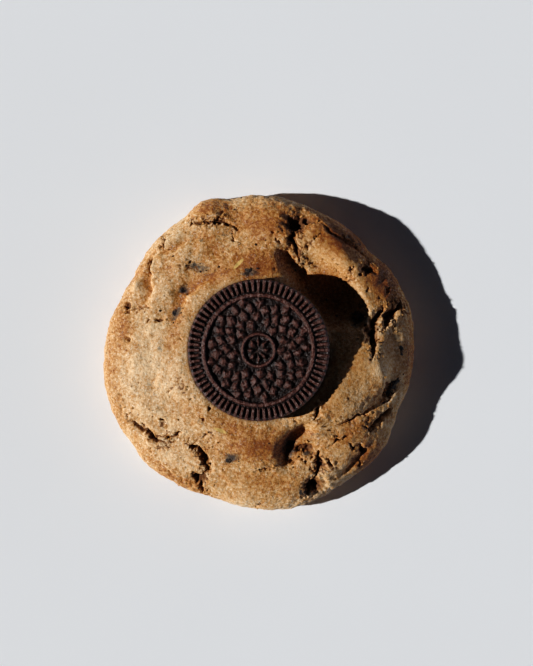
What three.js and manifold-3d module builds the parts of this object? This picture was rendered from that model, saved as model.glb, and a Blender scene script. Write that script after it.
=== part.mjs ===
// A thick baked cookie with a whole chocolate sandwich cookie pressed into its top and broken
// pieces of the same chocolate biscuit baked into the dough. Millimetres, +Z up. The origin is
// the middle of the flat base. Seen from above, +X is to the right and +Y is away from the viewer.
// Angles are in degrees, anticlockwise from +X.
import * as THREE from "three";
import { mergeVertices } from "three/addons/utils/BufferGeometryUtils.js";
import Module from "manifold-3d";

const wasm = await Module();
wasm.setup();

// The baked cookie: a dome with a rounded side on a flat base.
const BAKED_RADIUS = 50.6;
const DOME_TOP = 23.3;
const WIDEST_AT = 6;
const FOOT_INSET = 4.2;
const DOME_FULLNESS = 2;
const DOME_EDGE = 0.35;
const DOUGH_STEP = 2.3;
const SIDE_RINGS = 3;
const BASE_RING_RADIUS = 24;
const BASE_RING_SIDES = 20;
const RELIEF_FADE = 0.42;
const RING_SPACING = 0.87;
const PROFILE_STEP = 0.02;

// The outline's swells: the angle of each, its half width in degrees and how far it stands out.
const OUTLINE_SWELLS = [
  { at: 14, half: 12, out: 1.2 },
  { at: 30, half: 8, out: 0.6 },
  { at: 43, half: 6, out: -1.0 },
  { at: 88, half: 12, out: 1.6 },
  { at: 109, half: 7, out: 3.0 },
  { at: 152, half: 16, out: -2.2 },
  { at: 196, half: 14, out: 1.0 },
  { at: 225, half: 10, out: 0.8 },
  { at: 254, half: 12, out: -1.4 },
  { at: 284, half: 14, out: 1.2 },
  { at: 320, half: 11, out: 1.1 },
  { at: 337, half: 7, out: -1.2 },
];

// The sandwich cookie: two wafers and the cream between them.
const SANDWICH_X = 0.1;
const SANDWICH_Y = 1.5;
const SANDWICH_RADIUS = 22.5;
const SANDWICH_BASE = 21;
const WAFER_THICK = 3.3;
const CREAM_THICK = 2.4;
const CREAM_RADIUS = 21.2;
const CREAM_SIDES = 48;
const CREAM_BEVEL = 0.5;
const POCKET_GAP = 0.3;
const POCKET_CUT_TALL = 20;

// The flanks that stand fuller or lower than the plain dome, by direction, as a share of the height.
const FLANKS = [
  { at: 66, half: 30, share: 0.22 },
  { at: 24, half: 15, share: -0.14 },
  { at: -24, half: 14, share: -0.1 },
  { at: -50, half: 34, share: -0.18 },
  { at: 150, half: 30, share: 0.08 },
];

// The dough pushed up round the sandwich, and the hollow beside it.
const COLLAR_AT = 26.5;
const COLLAR_HALF = 7;
const COLLAR_RISES = [
  { at: -42, half: 26, rise: 2.4 },
  { at: 200, half: 62, rise: 2 },
  { at: 112, half: 42, rise: 1.4 },
];
const HOLLOW = { at: 43, half: 27, middle: 28.3, reach: 8.4, depth: 6 };

// Broad lumps and dents of the crust: place, half length, half width, turn and rise.
const LUMPS = [
  { x: 6, y: 41.4, long: 14, wide: 6.4, turn: 0, rise: 1.7 },
  { x: 23.5, y: 34.5, long: 10, wide: 5, turn: -42, rise: 0.8 },
  { x: 36, y: 12, long: 9, wide: 2.6, turn: 108, rise: 0.9 },
  { x: -17, y: 45, long: 5.5, wide: 4, turn: 10, rise: 2.2 },
  { x: -28, y: 33, long: 11, wide: 7, turn: 45, rise: 1.2 },
  { x: -38, y: 22, long: 7, wide: 2.8, turn: 66, rise: -1.6 },
  { x: -40, y: -6, long: 15, wide: 8, turn: 100, rise: 0.6 },
  { x: -3, y: -26.5, long: 9, wide: 6, turn: 0, rise: 1.2 },
  { x: -2, y: -32, long: 12, wide: 6, turn: 0, rise: 1.6 },
  { x: 15, y: -31, long: 6.5, wide: 4.5, turn: 15, rise: -1.6 },
  { x: -43, y: -28, long: 9, wide: 5, turn: 125, rise: -1 },
  { x: 13, y: 29.5, long: 4, wide: 2, turn: 80, rise: 1 },
  { x: 43, y: -9, long: 6, wide: 2.6, turn: 65, rise: -0.5 },
  { x: -8, y: 40, long: 6, wide: 4, turn: 0, rise: -0.8 },
  { x: -30, y: 14, long: 8, wide: 3, turn: 70, rise: -0.9 },
  { x: 27, y: -31, long: 11, wide: 6, turn: 35, rise: 1.6 },
];

// The mound beside the sandwich, with a flatter top and steeper sides, in the same terms.
const MOUND = { x: 31.5, y: -8, long: 13, wide: 10, turn: 75, rise: 3 };
const MOUND_POWER = 4;

// Smooth folds in the crust: the points each runs through, its half width and its depth.
const FOLDS = [
  { through: [[9.4, -34.4], [9, -31], [10, -28.4], [12, -26.4], [15, -25]], half: 2.6, depth: 3 },
  {
    through: [[15, -25], [24.7, -24.4], [28, -22.9], [32.7, -19.6], [37.9, -16.3], [41, -13.6]],
    half: 1.8,
    depth: 1.2,
  },
  { through: [[-20, 27], [-25, 20], [-28.5, 11]], half: 2.6, depth: 1.1 },
  { through: [[8.4, 32], [10.6, 29], [13.6, 26]], half: 2.2, depth: 3.2 },
];

// Cracks: the points each runs through, its width at the surface and its depth. A cutter is made in
// steps along its crack, reaches above the crust, and narrows at the crack's ends.
const CRACK_STEP = 2.2;
const CRACK_END_SHARE = 0.25;
const CUTTER_ABOVE_CRUST = 2.5;
const CRACKS = [
  { through: [[12, 41], [10.6, 37.5], [12.2, 33.4], [13.4, 30]], wide: 1.8, deep: 3 },
  { through: [[40.1, 14.9], [37.2, 10.4], [36.8, 4.6], [36.9, 0.8]], wide: 2.6, deep: 3.4 },
  { through: [[46, 15.6], [42.6, 13], [40.9, 9]], wide: 2.4, deep: 2.8 },
  {
    through: [[-42.3, -21.3], [-39, -23.9], [-36.1, -24.5], [-33.2, -27.8], [-29.6, -28.7]],
    wide: 1.6,
    deep: 2.4,
  },
  { through: [[-31, -27.9], [-27.5, -26.5], [-24.2, -24.7]], wide: 1.3, deep: 1.6 },
  {
    through: [[-22.8, -28.7], [-19.4, -30], [-17.1, -34.4], [-16.1, -37.3], [-18, -38.9]],
    wide: 1.9,
    deep: 2.8,
  },
  { through: [[-18.8, -41.6], [-18.4, -44.8]], wide: 1.4, deep: 2 },
  { through: [[19, -31.4], [19.8, -36.2], [18.2, -40.2]], wide: 1.6, deep: 2.6 },
  { through: [[19.4, -16.6], [18.3, -20.4]], wide: 1.8, deep: 2.6 },
  { through: [[-22.6, 42.4], [-15.5, 42.2], [-10.7, 42.8], [-6.6, 40.6]], wide: 1.5, deep: 1.8 },
  { through: [[19.4, 43.2], [23.6, 38.8], [30.8, 35], [35.6, 30.8]], wide: 0.9, deep: 1.1 },
  { through: [[41.4, -19], [38.6, -21.4], [35.6, -24.4]], wide: 1.6, deep: 1.8 },
  { through: [[-35.2, 31.6], [-35.4, 26.6]], wide: 1.2, deep: 1.6 },
];

// Torn holes in the crust: place, half length, half width, turn and depth.
const HOLES = [
  { x: 12.3, y: 42.6, long: 3.8, wide: 2.8, turn: 10, deep: 4 },
  { x: 18.2, y: -42.9, long: 2.7, wide: 2.3, turn: 20, deep: 3.6 },
  { x: 41.5, y: -11.6, long: 3.8, wide: 1.6, turn: 72, deep: 2.6 },
  { x: -19.4, y: -40.4, long: 2.3, wide: 1.8, turn: 20, deep: 2.8 },
  { x: 14.4, y: -30.2, long: 3.6, wide: 1.4, turn: 5, deep: 1.8 },
  { x: 33.7, y: -31, long: 1.7, wide: 1, turn: -60, deep: 1.8 },
  { x: 35.4, y: 27.7, long: 2, wide: 1.3, turn: -20, deep: 1.9 },
  { x: -42.6, y: 15.8, long: 1.9, wide: 1.3, turn: -35, deep: 1.8 },
  { x: -31.7, y: 11.4, long: 1.5, wide: 0.9, turn: 10, deep: 1.5 },
  { x: -42.1, y: 4.8, long: 1.2, wide: 0.9, turn: -40, deep: 1.4 },
];

// Broken biscuit pieces that show in the crust: place, half sizes, turn, and how far each stands
// out of the crust.
const BISCUIT_PIECES = [
  { name: "biscuit_piece_right", x: 42.6, y: -9.6, long: 5, wide: 2.7, thick: 2, turn: 62, proud: 0.5 },
  { name: "biscuit_piece_rim", x: 45.2, y: 2, long: 3.6, wide: 1.9, thick: 1.6, turn: 95, proud: 0.35 },
  { name: "biscuit_piece_hollow", x: 32.4, y: 11.6, long: 3.2, wide: 2.1, thick: 1.7, turn: -48, proud: 0.8 },
  { name: "biscuit_piece_back", x: -3, y: 27, long: 2.6, wide: 1.3, thick: 1.5, turn: 8, proud: 0.6 },
  { name: "biscuit_piece_left", x: -26.4, y: 13.4, long: 2.8, wide: 1.4, thick: 1.5, turn: 60, proud: 0.4 },
  { name: "biscuit_piece_upper_left", x: -24, y: 21.2, long: 2.1, wide: 1.3, thick: 1.3, turn: 30, proud: 0.4 },
  { name: "biscuit_piece_front", x: -8.9, y: -33.6, long: 2.9, wide: 1.5, thick: 1.5, turn: 22, proud: 0.45 },
  { name: "biscuit_piece_tear", x: 14, y: -44.2, long: 2.2, wide: 1.4, thick: 1.3, turn: -60, proud: 0.3 },
];
const PIECE_GAP = 0.3;
const LUMP_UNEVENNESS = { share: 0.16, x: 5.3, y: 4.1, placeX: 3.1, placeY: 2.3 };

// A wafer's face: radial flutes round the rim, a plain raised ring inside them, knobs set out like
// the seeds of a sunflower, and a round medallion with a ring of petals.
const FLUTES = 72;
const FLUTE_INNER = 18.5;
const FLUTE_OUTER = 21.7;
const FLUTE_VALLEY = 2.5;
const EDGE_RIDGE = 2.5;
const EDGE_VALLEY = 1.7;
const VALLEY_INSET = 0.35;
const FACE_EDGE_INSET = 0.6;
const FACE_EDGE_HEIGHT = 0.5;
const FACE_EDGE_DRAFT = 0.1;
const FACE_LEVEL = 2.7;
const EMBOSS_TOP = WAFER_THICK;
const RING_INNER = 16.7;
const RING_OUTER = 18;
const RING_BEVEL = 0.35;
const RING_SIDES = 48;
const KNOBS = 64;
const KNOB_INNER = 7;
const KNOB_OUTER = 15.9;
const KNOB = { long: 1.7, wide: 1.4, sides: 5 };
const MEDALLION = { long: 5.6, wide: 5.6, sides: 24 };
const MEDALLION_RIM = 1;
const PETALS = 8;
const PETAL_AT = 2.6;
const PETAL = { long: 1.5, wide: 0.7, sides: 5 };
const MARK_TAPER = 0.55;
const RIM_TAPER = 0.95;
const GOLDEN_TURN = 137.508;
const SINK = 0.4;

const radians = THREE.MathUtils.degToRad;
const smooth = (x, low, high) => THREE.MathUtils.smoothstep(x, low, high);

// The smaller angle between two directions, in degrees.
function turnBetween(a, b) {
  return Math.abs(((((a - b + 180) % 360) + 360) % 360) - 180);
}

// A bell curve: 1 at the middle, falling to 0.37 at the half width.
function bell(distance, half, power = 2) {
  return Math.exp(-Math.pow(Math.abs(distance) / half, power));
}

// The distance from a point to a line of straight runs through the given points.
function distanceToRoute(x, y, through) {
  let nearest = Infinity;
  for (let i = 0; i + 1 < through.length; i++) {
    const [ax, ay] = through[i];
    const [bx, by] = through[i + 1];
    const [dx, dy] = [bx - ax, by - ay];
    const along = THREE.MathUtils.clamp(((x - ax) * dx + (y - ay) * dy) / (dx * dx + dy * dy), 0, 1);
    nearest = Math.min(nearest, Math.hypot(x - ax - along * dx, y - ay - along * dy));
  }
  return nearest;
}

// The radius of the baked cookie's outline in a direction.
function outlineRadius(degrees) {
  return OUTLINE_SWELLS.reduce(
    (radius, swell) => radius + swell.out * bell(turnBetween(degrees, swell.at), swell.half),
    BAKED_RADIUS,
  );
}

// How far a lump lifts the crust at a place. A higher power gives a flatter top and steeper sides.
function lumpRise(lump, x, y, power = 2) {
  const [cos, sin] = [Math.cos(radians(lump.turn)), Math.sin(radians(lump.turn))];
  const along = ((x - lump.x) * cos + (y - lump.y) * sin) / lump.long;
  const across = ((y - lump.y) * cos - (x - lump.x) * sin) / lump.wide;
  return lump.rise * bell(Math.hypot(along, across), 1, power);
}

// How far the crust at a place lies above or below the plain dome.
function relief(x, y) {
  const [fromX, fromY] = [x - SANDWICH_X, y - SANDWICH_Y];
  const distance = Math.hypot(fromX, fromY);
  const direction = THREE.MathUtils.radToDeg(Math.atan2(fromY, fromX));
  let rise = 0;
  for (const collar of COLLAR_RISES) {
    const share = bell(turnBetween(direction, collar.at), collar.half);
    rise += collar.rise * share * bell(distance - COLLAR_AT, COLLAR_HALF);
  }
  const facing = bell(turnBetween(direction, HOLLOW.at), HOLLOW.half, 4);
  rise -= HOLLOW.depth * facing * bell(distance - HOLLOW.middle, HOLLOW.reach, 4);
  for (const lump of LUMPS) rise += lumpRise(lump, x, y);
  rise += lumpRise(MOUND, x, y, MOUND_POWER);
  for (const fold of FOLDS) rise -= fold.depth * bell(distanceToRoute(x, y, fold.through), fold.half);
  return rise;
}

// How much fuller or lower the flank stands in a direction.
function flankShare(direction) {
  return FLANKS.reduce(
    (sum, flank) => sum + flank.share * bell(turnBetween(direction, flank.at), flank.half),
    0,
  );
}

// The dome's height, from 1 in the middle to 0 at the widest part, at a share of the way out.
function domeLift(share) {
  return Math.pow(Math.max(0, 1 - Math.pow(share, DOME_FULLNESS)), DOME_EDGE);
}

// The crust's height at a place. The relief fades out towards the widest part.
function crustHeight(x, y) {
  const direction = THREE.MathUtils.radToDeg(Math.atan2(y, x));
  const share = Math.hypot(x, y) / outlineRadius(direction);
  const lift = domeLift(share);
  const dome = WIDEST_AT + (DOME_TOP - WIDEST_AT) * lift;
  return dome * (1 + flankShare(direction) * share ** 3) + relief(x, y) * smooth(lift, 0, RELIEF_FADE);
}

// A closed mesh from rings of points, each ring with a count of its own, zipped to the next.
function zipRings(rings, firstPoint) {
  const points = rings.flat();
  const faces = [];
  let start = 0;
  if (firstPoint) {
    points.push(firstPoint);
    rings[0].forEach((_, i) => faces.push([points.length - 1, i, (i + 1) % rings[0].length]));
  }
  for (let r = 0; r + 1 < rings.length; r++) {
    const [inner, outer] = [rings[r].length, rings[r + 1].length];
    const next = start + inner;
    let [i, j] = [0, 0];
    while (i < inner || j < outer) {
      const stepInner = j >= outer || (i < inner && (i + 1) / inner <= (j + 1) / outer);
      if (stepInner) faces.push([start + (i % inner), next + (j % outer), start + ((i + 1) % inner)]);
      else faces.push([start + (i % inner), next + (j % outer), next + ((j + 1) % outer)]);
      if (stepInner) i++;
      else j++;
    }
    start = next;
  }
  const last = rings[rings.length - 1].length;
  for (let i = 1; i + 1 < last; i++) faces.push([start, start + i + 1, start + i]);
  return geometryOf(points, faces);
}

function geometryOf(points, faces) {
  const geometry = new THREE.BufferGeometry();
  geometry.setAttribute("position", new THREE.Float32BufferAttribute(points.flat(), 3));
  geometry.setIndex(faces.flat());
  return geometry;
}

// Between three.js geometry and manifold-3d solids.
function solidFrom(geometry) {
  const bare = geometry.clone();
  bare.deleteAttribute("normal");
  bare.deleteAttribute("uv");
  const merged = mergeVertices(bare, 1e-4);
  const triVerts = new Uint32Array(merged.index.array);
  const vertProperties = new Float32Array(merged.attributes.position.array);
  return new wasm.Manifold(new wasm.Mesh({ numProp: 3, vertProperties, triVerts }));
}

function geometryFrom(solid) {
  const mesh = solid.getMesh();
  const geometry = new THREE.BufferGeometry();
  geometry.setAttribute("position", new THREE.BufferAttribute(new Float32Array(mesh.vertProperties), 3));
  geometry.setIndex([...mesh.triVerts]);
  geometry.computeVertexNormals();
  return geometry;
}

const joined = (solids) => solids.reduce((all, solid) => all.add(solid));

// One ring of the crust, at a share of the way from the middle out to the outline.
function crustRing(share) {
  const count = Math.max(6, Math.round((2 * Math.PI * BAKED_RADIUS * share) / DOUGH_STEP));
  return Array.from({ length: count }, (_, i) => {
    const degrees = (360 * i) / count;
    const radius = outlineRadius(degrees) * share;
    const [x, y] = [radius * Math.cos(radians(degrees)), radius * Math.sin(radians(degrees))];
    return [x, y, crustHeight(x, y)];
  });
}

// One ring of the rounded side below the widest part, at a tuck angle from 0 down to 90.
function sideRing(tuckDegrees) {
  const count = Math.round((2 * Math.PI * BAKED_RADIUS) / DOUGH_STEP);
  const inset = FOOT_INSET * (1 - Math.cos(radians(tuckDegrees)));
  return Array.from({ length: count }, (_, i) => {
    const degrees = (360 * i) / count;
    const radius = outlineRadius(degrees) - inset;
    const widest = WIDEST_AT * (1 + flankShare(degrees));
    const z = tuckDegrees < 90 ? widest * (1 - Math.sin(radians(tuckDegrees))) : 0;
    return [radius * Math.cos(radians(degrees)), radius * Math.sin(radians(degrees)), z];
  });
}

function flatRing(radius, count, z) {
  return Array.from({ length: count }, (_, i) => {
    const turn = (2 * Math.PI * i) / count;
    return [radius * Math.cos(turn), radius * Math.sin(turn), z];
  });
}

// The shares at which the crust's rings lie, evenly spaced along the dome's profile from the top down.
function ringShares() {
  const shares = [];
  let [lastRadius, lastHeight] = [0, DOME_TOP - WIDEST_AT];
  for (let degrees = 0; degrees < 90; degrees += PROFILE_STEP) {
    const share = Math.sin(radians(degrees));
    const [radius, height] = [BAKED_RADIUS * share, (DOME_TOP - WIDEST_AT) * domeLift(share)];
    if (Math.hypot(radius - lastRadius, height - lastHeight) >= DOUGH_STEP * RING_SPACING) {
      shares.push(share);
      [lastRadius, lastHeight] = [radius, height];
    }
  }
  return shares;
}

// The whole dough before anything is cut from it.
function doughBody() {
  const rings = ringShares().map(crustRing);
  for (let i = 0; i <= SIDE_RINGS; i++) rings.push(sideRing((90 * i) / SIDE_RINGS));
  rings.push(flatRing(BASE_RING_RADIUS, BASE_RING_SIDES, 0));
  return solidFrom(zipRings(rings, [0, 0, crustHeight(0, 0)]));
}

// A wedge that cuts a crack into the crust along its route, tapering to both ends.
function crackCutter({ through, wide, deep }) {
  const route = new THREE.CatmullRomCurve3(through.map(([x, y]) => new THREE.Vector3(x, y, 0)));
  const steps = Math.max(3, Math.round(route.getLength() / CRACK_STEP));
  const sections = [];
  for (let i = 0; i <= steps; i++) {
    const at = route.getPointAt(i / steps);
    const tangent = route.getTangentAt(i / steps);
    const swell = Math.sin((Math.PI * (i + 0.5)) / (steps + 1));
    const taper = CRACK_END_SHARE + (1 - CRACK_END_SHARE) * swell;
    const half = ((wide / 2) * taper * (deep + CUTTER_ABOVE_CRUST)) / deep;
    const top = crustHeight(at.x, at.y);
    const [nx, ny] = [-tangent.y, tangent.x];
    sections.push([
      [at.x, at.y, top - deep * taper],
      [at.x + nx * half, at.y + ny * half, top + CUTTER_ABOVE_CRUST],
      [at.x - nx * half, at.y - ny * half, top + CUTTER_ABOVE_CRUST],
    ]);
  }
  const faces = [[0, 1, 2]];
  for (let s = 0; s < steps; s++) {
    for (let k = 0; k < 3; k++) {
      const [a, b] = [3 * s + k, 3 * s + ((k + 1) % 3)];
      faces.push([a, a + 3, b], [b, a + 3, b + 3]);
    }
  }
  const end = 3 * steps;
  faces.push([end, end + 2, end + 1]);
  return solidFacingOut(sections.flat(), faces);
}

// A solid from points and faces that all face one way, turned round if that way is inwards.
function solidFacingOut(points, faces) {
  const solid = solidFrom(geometryOf(points, faces));
  if (solid.volume() > 0) return solid;
  return solidFrom(geometryOf(points, faces.map(([a, b, c]) => [a, c, b])));
}

// A rough lump, the shape of a torn hole or of a broken piece: a low sphere with uneven corners.
function roughLump({ long, wide, thick, turn, x, y, z, grow = 0 }) {
  const sphere = mergeVertices(bareSphere(), 1e-4);
  const place = sphere.attributes.position;
  const corner = new THREE.Vector3();
  const uneven = LUMP_UNEVENNESS;
  for (let i = 0; i < place.count; i++) {
    corner.fromBufferAttribute(place, i);
    const waveX = Math.sin(uneven.x * corner.x + uneven.placeX * x);
    const waveY = Math.cos(uneven.y * corner.y + uneven.placeY * y);
    corner.multiplyScalar(1 + uneven.share * waveX * waveY);
    corner.set(corner.x * (long + grow), corner.y * (wide + grow), corner.z * (thick + grow));
    corner.applyAxisAngle(new THREE.Vector3(0, 0, 1), radians(turn));
    place.setXYZ(i, corner.x + x, corner.y + y, corner.z + z);
  }
  return sphere;
}

function bareSphere() {
  const sphere = new THREE.IcosahedronGeometry(1, 1);
  sphere.deleteAttribute("normal");
  sphere.deleteAttribute("uv");
  return sphere;
}

// The height at which a piece's middle lies so that it stands proud of the crust as stated.
const pieceHeight = (piece) => crustHeight(piece.x, piece.y) + piece.proud - piece.thick;

function holeCutter(hole) {
  const z = crustHeight(hole.x, hole.y);
  return solidFrom(roughLump({ ...hole, thick: hole.deep, z }));
}

function pieceSolid(piece, grow) {
  return solidFrom(roughLump({ ...piece, z: pieceHeight(piece), grow }));
}

function pocketCutter() {
  const radius = SANDWICH_RADIUS + POCKET_GAP;
  const pocket = new THREE.CylinderGeometry(radius, radius, POCKET_CUT_TALL, FLUTES);
  pocket.rotateX(Math.PI / 2);
  pocket.translate(SANDWICH_X, SANDWICH_Y, SANDWICH_BASE + POCKET_CUT_TALL / 2);
  return solidFrom(pocket);
}

function bakedCookie() {
  const cutters = [
    pocketCutter(),
    ...CRACKS.map(crackCutter),
    ...HOLES.map(holeCutter),
    ...BISCUIT_PIECES.map((piece) => pieceSolid(piece, PIECE_GAP)),
  ];
  const cut = doughBody().subtract(joined(cutters));
  const largest = cut.decompose().sort((a, b) => b.volume() - a.volume())[0];
  return geometryFrom(largest);
}

// A ring of alternate ridge and valley points, two for each flute.
function fluteRing(ridgeRadius, valleyRadius, ridgeZ, valleyZ) {
  return Array.from({ length: 2 * FLUTES }, (_, i) => {
    const turn = (Math.PI * i) / FLUTES;
    const [radius, z] = i % 2 ? [valleyRadius, valleyZ] : [ridgeRadius, ridgeZ];
    return [radius * Math.cos(turn), radius * Math.sin(turn), z];
  });
}

// The upper wafer without its knobs and medallion, its plain side down.
function flutedDisc() {
  const valleyRadius = SANDWICH_RADIUS - VALLEY_INSET;
  const rings = [
    flatRing(RING_INNER, RING_SIDES, FACE_LEVEL),
    flatRing(RING_INNER + RING_BEVEL, RING_SIDES, EMBOSS_TOP),
    flatRing(RING_OUTER - RING_BEVEL, RING_SIDES, EMBOSS_TOP),
    fluteRing(FLUTE_INNER, FLUTE_INNER, EMBOSS_TOP, FLUTE_VALLEY),
    fluteRing(FLUTE_OUTER, FLUTE_OUTER, EMBOSS_TOP, FLUTE_VALLEY),
    fluteRing(SANDWICH_RADIUS, valleyRadius, EDGE_RIDGE, EDGE_VALLEY),
    flatRing(valleyRadius - FACE_EDGE_DRAFT, FLUTES, FACE_EDGE_HEIGHT),
    flatRing(valleyRadius - FACE_EDGE_INSET, FLUTES / 2, 0),
  ];
  return solidFrom(zipRings(rings, [0, 0, FACE_LEVEL]));
}

// A raised mark on the wafer's face, standing on it and sinking a little into it.
function raisedMark({ long, wide, sides }, taper, radius, turn) {
  const mark = new THREE.CylinderGeometry(taper, 1, EMBOSS_TOP - FACE_LEVEL + SINK, sides, 1);
  mark.rotateX(Math.PI / 2);
  mark.scale(long, wide, 1);
  mark.rotateZ(turn);
  mark.translate(radius * Math.cos(turn), radius * Math.sin(turn), (EMBOSS_TOP + FACE_LEVEL - SINK) / 2);
  return solidFrom(mark);
}

function knobs() {
  return Array.from({ length: KNOBS }, (_, i) => {
    const share = (i + 0.5) / KNOBS;
    const radius = Math.sqrt(KNOB_INNER ** 2 + share * (KNOB_OUTER ** 2 - KNOB_INNER ** 2));
    return raisedMark(KNOB, MARK_TAPER, radius, radians(GOLDEN_TURN * i));
  });
}

function medallion() {
  const wellRadius = MEDALLION.long - MEDALLION_RIM;
  const well = new THREE.CylinderGeometry(wellRadius, wellRadius, 2, MEDALLION.sides);
  well.rotateX(Math.PI / 2);
  well.translate(0, 0, FACE_LEVEL + 1);
  const rim = raisedMark(MEDALLION, RIM_TAPER, 0, 0).subtract(solidFrom(well));
  const petals = Array.from({ length: PETALS }, (_, i) =>
    raisedMark(PETAL, MARK_TAPER, PETAL_AT, (2 * Math.PI * i) / PETALS),
  );
  return [rim, ...petals];
}

function topWafer() {
  return geometryFrom(joined([flutedDisc(), ...knobs(), ...medallion()]));
}

// The lower wafer lies face down, and its hidden face stays plain.
function bottomWafer() {
  const valleyRadius = SANDWICH_RADIUS - VALLEY_INSET;
  const rings = [
    flatRing(valleyRadius - FACE_EDGE_INSET, FLUTES, WAFER_THICK),
    fluteRing(SANDWICH_RADIUS, valleyRadius, WAFER_THICK - EDGE_VALLEY, WAFER_THICK - EDGE_RIDGE),
    flatRing(valleyRadius - FACE_EDGE_INSET, FLUTES, 0),
  ];
  return geometryFrom(solidFrom(zipRings(rings, [0, 0, WAFER_THICK])));
}

function creamFilling() {
  const half = CREAM_THICK / 2;
  const profile = [
    [0, -half],
    [CREAM_RADIUS - CREAM_BEVEL, -half],
    [CREAM_RADIUS, CREAM_BEVEL - half],
    [CREAM_RADIUS, half - CREAM_BEVEL],
    [CREAM_RADIUS - CREAM_BEVEL, half],
    [0, half],
  ];
  const outline = profile.map(([radius, z]) => new THREE.Vector2(radius, z));
  const lathe = new THREE.LatheGeometry(outline, CREAM_SIDES);
  lathe.rotateX(Math.PI / 2);
  return geometryFrom(solidFrom(lathe));
}

const FINISHES = {
  dough: { color: 0xb98350, roughness: 0.8 },
  chocolate: { color: 0x35261f, roughness: 0.65 },
  cream: { color: 0xf2ead6, roughness: 0.6 },
};

function namedMesh(name, geometry, finish, x = 0, y = 0, z = 0) {
  const mesh = new THREE.Mesh(geometry, new THREE.MeshStandardMaterial({ metalness: 0, ...finish }));
  mesh.name = name;
  mesh.position.set(x, y, z);
  return mesh;
}

const cookie = new THREE.Group();
cookie.add(namedMesh("baked_cookie", bakedCookie(), FINISHES.dough));
for (const piece of BISCUIT_PIECES) {
  cookie.add(namedMesh(piece.name, geometryFrom(pieceSolid(piece, 0)), FINISHES.chocolate));
}
const sandwich = new THREE.Group();
sandwich.position.set(SANDWICH_X, SANDWICH_Y, SANDWICH_BASE);
sandwich.add(namedMesh("bottom_wafer", bottomWafer(), FINISHES.chocolate));
const creamMiddle = WAFER_THICK + CREAM_THICK / 2;
sandwich.add(namedMesh("cream_filling", creamFilling(), FINISHES.cream, 0, 0, creamMiddle));
sandwich.add(namedMesh("top_wafer", topWafer(), FINISHES.chocolate, 0, 0, WAFER_THICK + CREAM_THICK));
cookie.add(sandwich);

export default cookie;
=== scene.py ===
# A thick baked cookie with a whole chocolate sandwich cookie pressed into its top.
# Shapes are worked out in millimetres, with the origin in the middle of the flat base, and become
# metres when a mesh is made. Angles are in degrees, anticlockwise from +X as seen from above.
import itertools
import math

import bmesh
import bpy
import numpy as np
from mathutils import Matrix, Vector


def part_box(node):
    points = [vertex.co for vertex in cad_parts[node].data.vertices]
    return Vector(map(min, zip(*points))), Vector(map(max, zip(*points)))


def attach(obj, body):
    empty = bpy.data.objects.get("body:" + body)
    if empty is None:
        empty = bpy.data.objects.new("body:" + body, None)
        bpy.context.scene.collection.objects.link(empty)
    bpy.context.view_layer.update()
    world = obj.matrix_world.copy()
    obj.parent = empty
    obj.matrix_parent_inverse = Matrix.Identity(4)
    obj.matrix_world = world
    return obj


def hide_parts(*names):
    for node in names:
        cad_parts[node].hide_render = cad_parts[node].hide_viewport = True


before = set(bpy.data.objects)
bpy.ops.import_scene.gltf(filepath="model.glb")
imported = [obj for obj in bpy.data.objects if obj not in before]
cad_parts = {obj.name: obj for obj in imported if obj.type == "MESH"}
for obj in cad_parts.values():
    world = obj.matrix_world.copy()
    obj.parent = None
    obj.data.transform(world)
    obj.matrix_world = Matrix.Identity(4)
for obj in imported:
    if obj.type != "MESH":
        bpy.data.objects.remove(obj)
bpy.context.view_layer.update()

MM = 0.001

# The baked cookie: a dome with a rounded side on a flat base.
BAKED_RADIUS = 50.6
DOME_TOP = 23.3
WIDEST_AT = 6
FOOT_INSET = 4.2
DOME_FULLNESS = 2
DOME_EDGE = 0.35
RELIEF_FADE = 0.42
SKIN_INSET = 0.22

# The outline's swells: the angle of each, its half width in degrees and how far it stands out.
OUTLINE_SWELLS = [
    (14, 12, 1.2), (30, 8, 0.6), (43, 6, -1.0), (88, 12, 1.6), (109, 7, 3.0), (152, 16, -2.2),
    (196, 14, 1.0), (225, 10, 0.8), (254, 12, -1.4), (284, 14, 1.2), (320, 11, 1.1), (337, 7, -1.2),
]

# The flanks that stand fuller or lower than the plain dome: angle, half width, share of the height.
FLANKS = [(66, 30, 0.22), (24, 15, -0.14), (-24, 14, -0.1), (-50, 34, -0.18), (150, 30, 0.08)]

# The sandwich cookie: two wafers and the cream between them. The cream's flat rings have a radius
# and a number of points each.
SANDWICH_X = 0.1
SANDWICH_Y = 1.5
SANDWICH_RADIUS = 22.5
SANDWICH_BASE = 21
WAFER_THICK = 3.3
CREAM_THICK = 2.4
CREAM_RADIUS = 21.2
CREAM_BULGE = 0.9
CREAM_RINGS = {5: 60, 12: 140, 18: 220}
CREAM_EDGE_POINTS = 480
CREAM_EDGE_RINGS = 13

# The dough pushed up round the sandwich, and the hollow beside it.
COLLAR_AT = 26.5
COLLAR_HALF = 7
COLLAR_RISES = [(-42, 26, 2.4), (200, 62, 2), (112, 42, 1.4)]
HOLLOW = {"at": 43, "half": 27, "middle": 28.3, "reach": 8.4, "depth": 6}

# Broad lumps and dents of the crust: x, y, half length, half width, turn and rise.
LUMPS = [
    (6, 41.4, 14, 6.4, 0, 1.7), (23.5, 34.5, 10, 5, -42, 0.8), (36, 12, 9, 2.6, 108, 0.9),
    (-17, 45, 5.5, 4, 10, 2.2), (-28, 33, 11, 7, 45, 1.2), (-38, 22, 7, 2.8, 66, -1.6),
    (-40, -6, 15, 8, 100, 0.6), (-3, -26.5, 9, 6, 0, 1.2), (15, -31, 6.5, 4.5, 15, -1.6),
    (-2, -32, 12, 6, 0, 1.6), (-43, -28, 9, 5, 125, -1), (13, 29.5, 4, 2, 80, 1),
    (43, -9, 6, 2.6, 65, -0.5), (-8, 40, 6, 4, 0, -0.8), (-30, 14, 8, 3, 70, -0.9),
    (27, -31, 11, 6, 35, 1.6),
]

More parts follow.
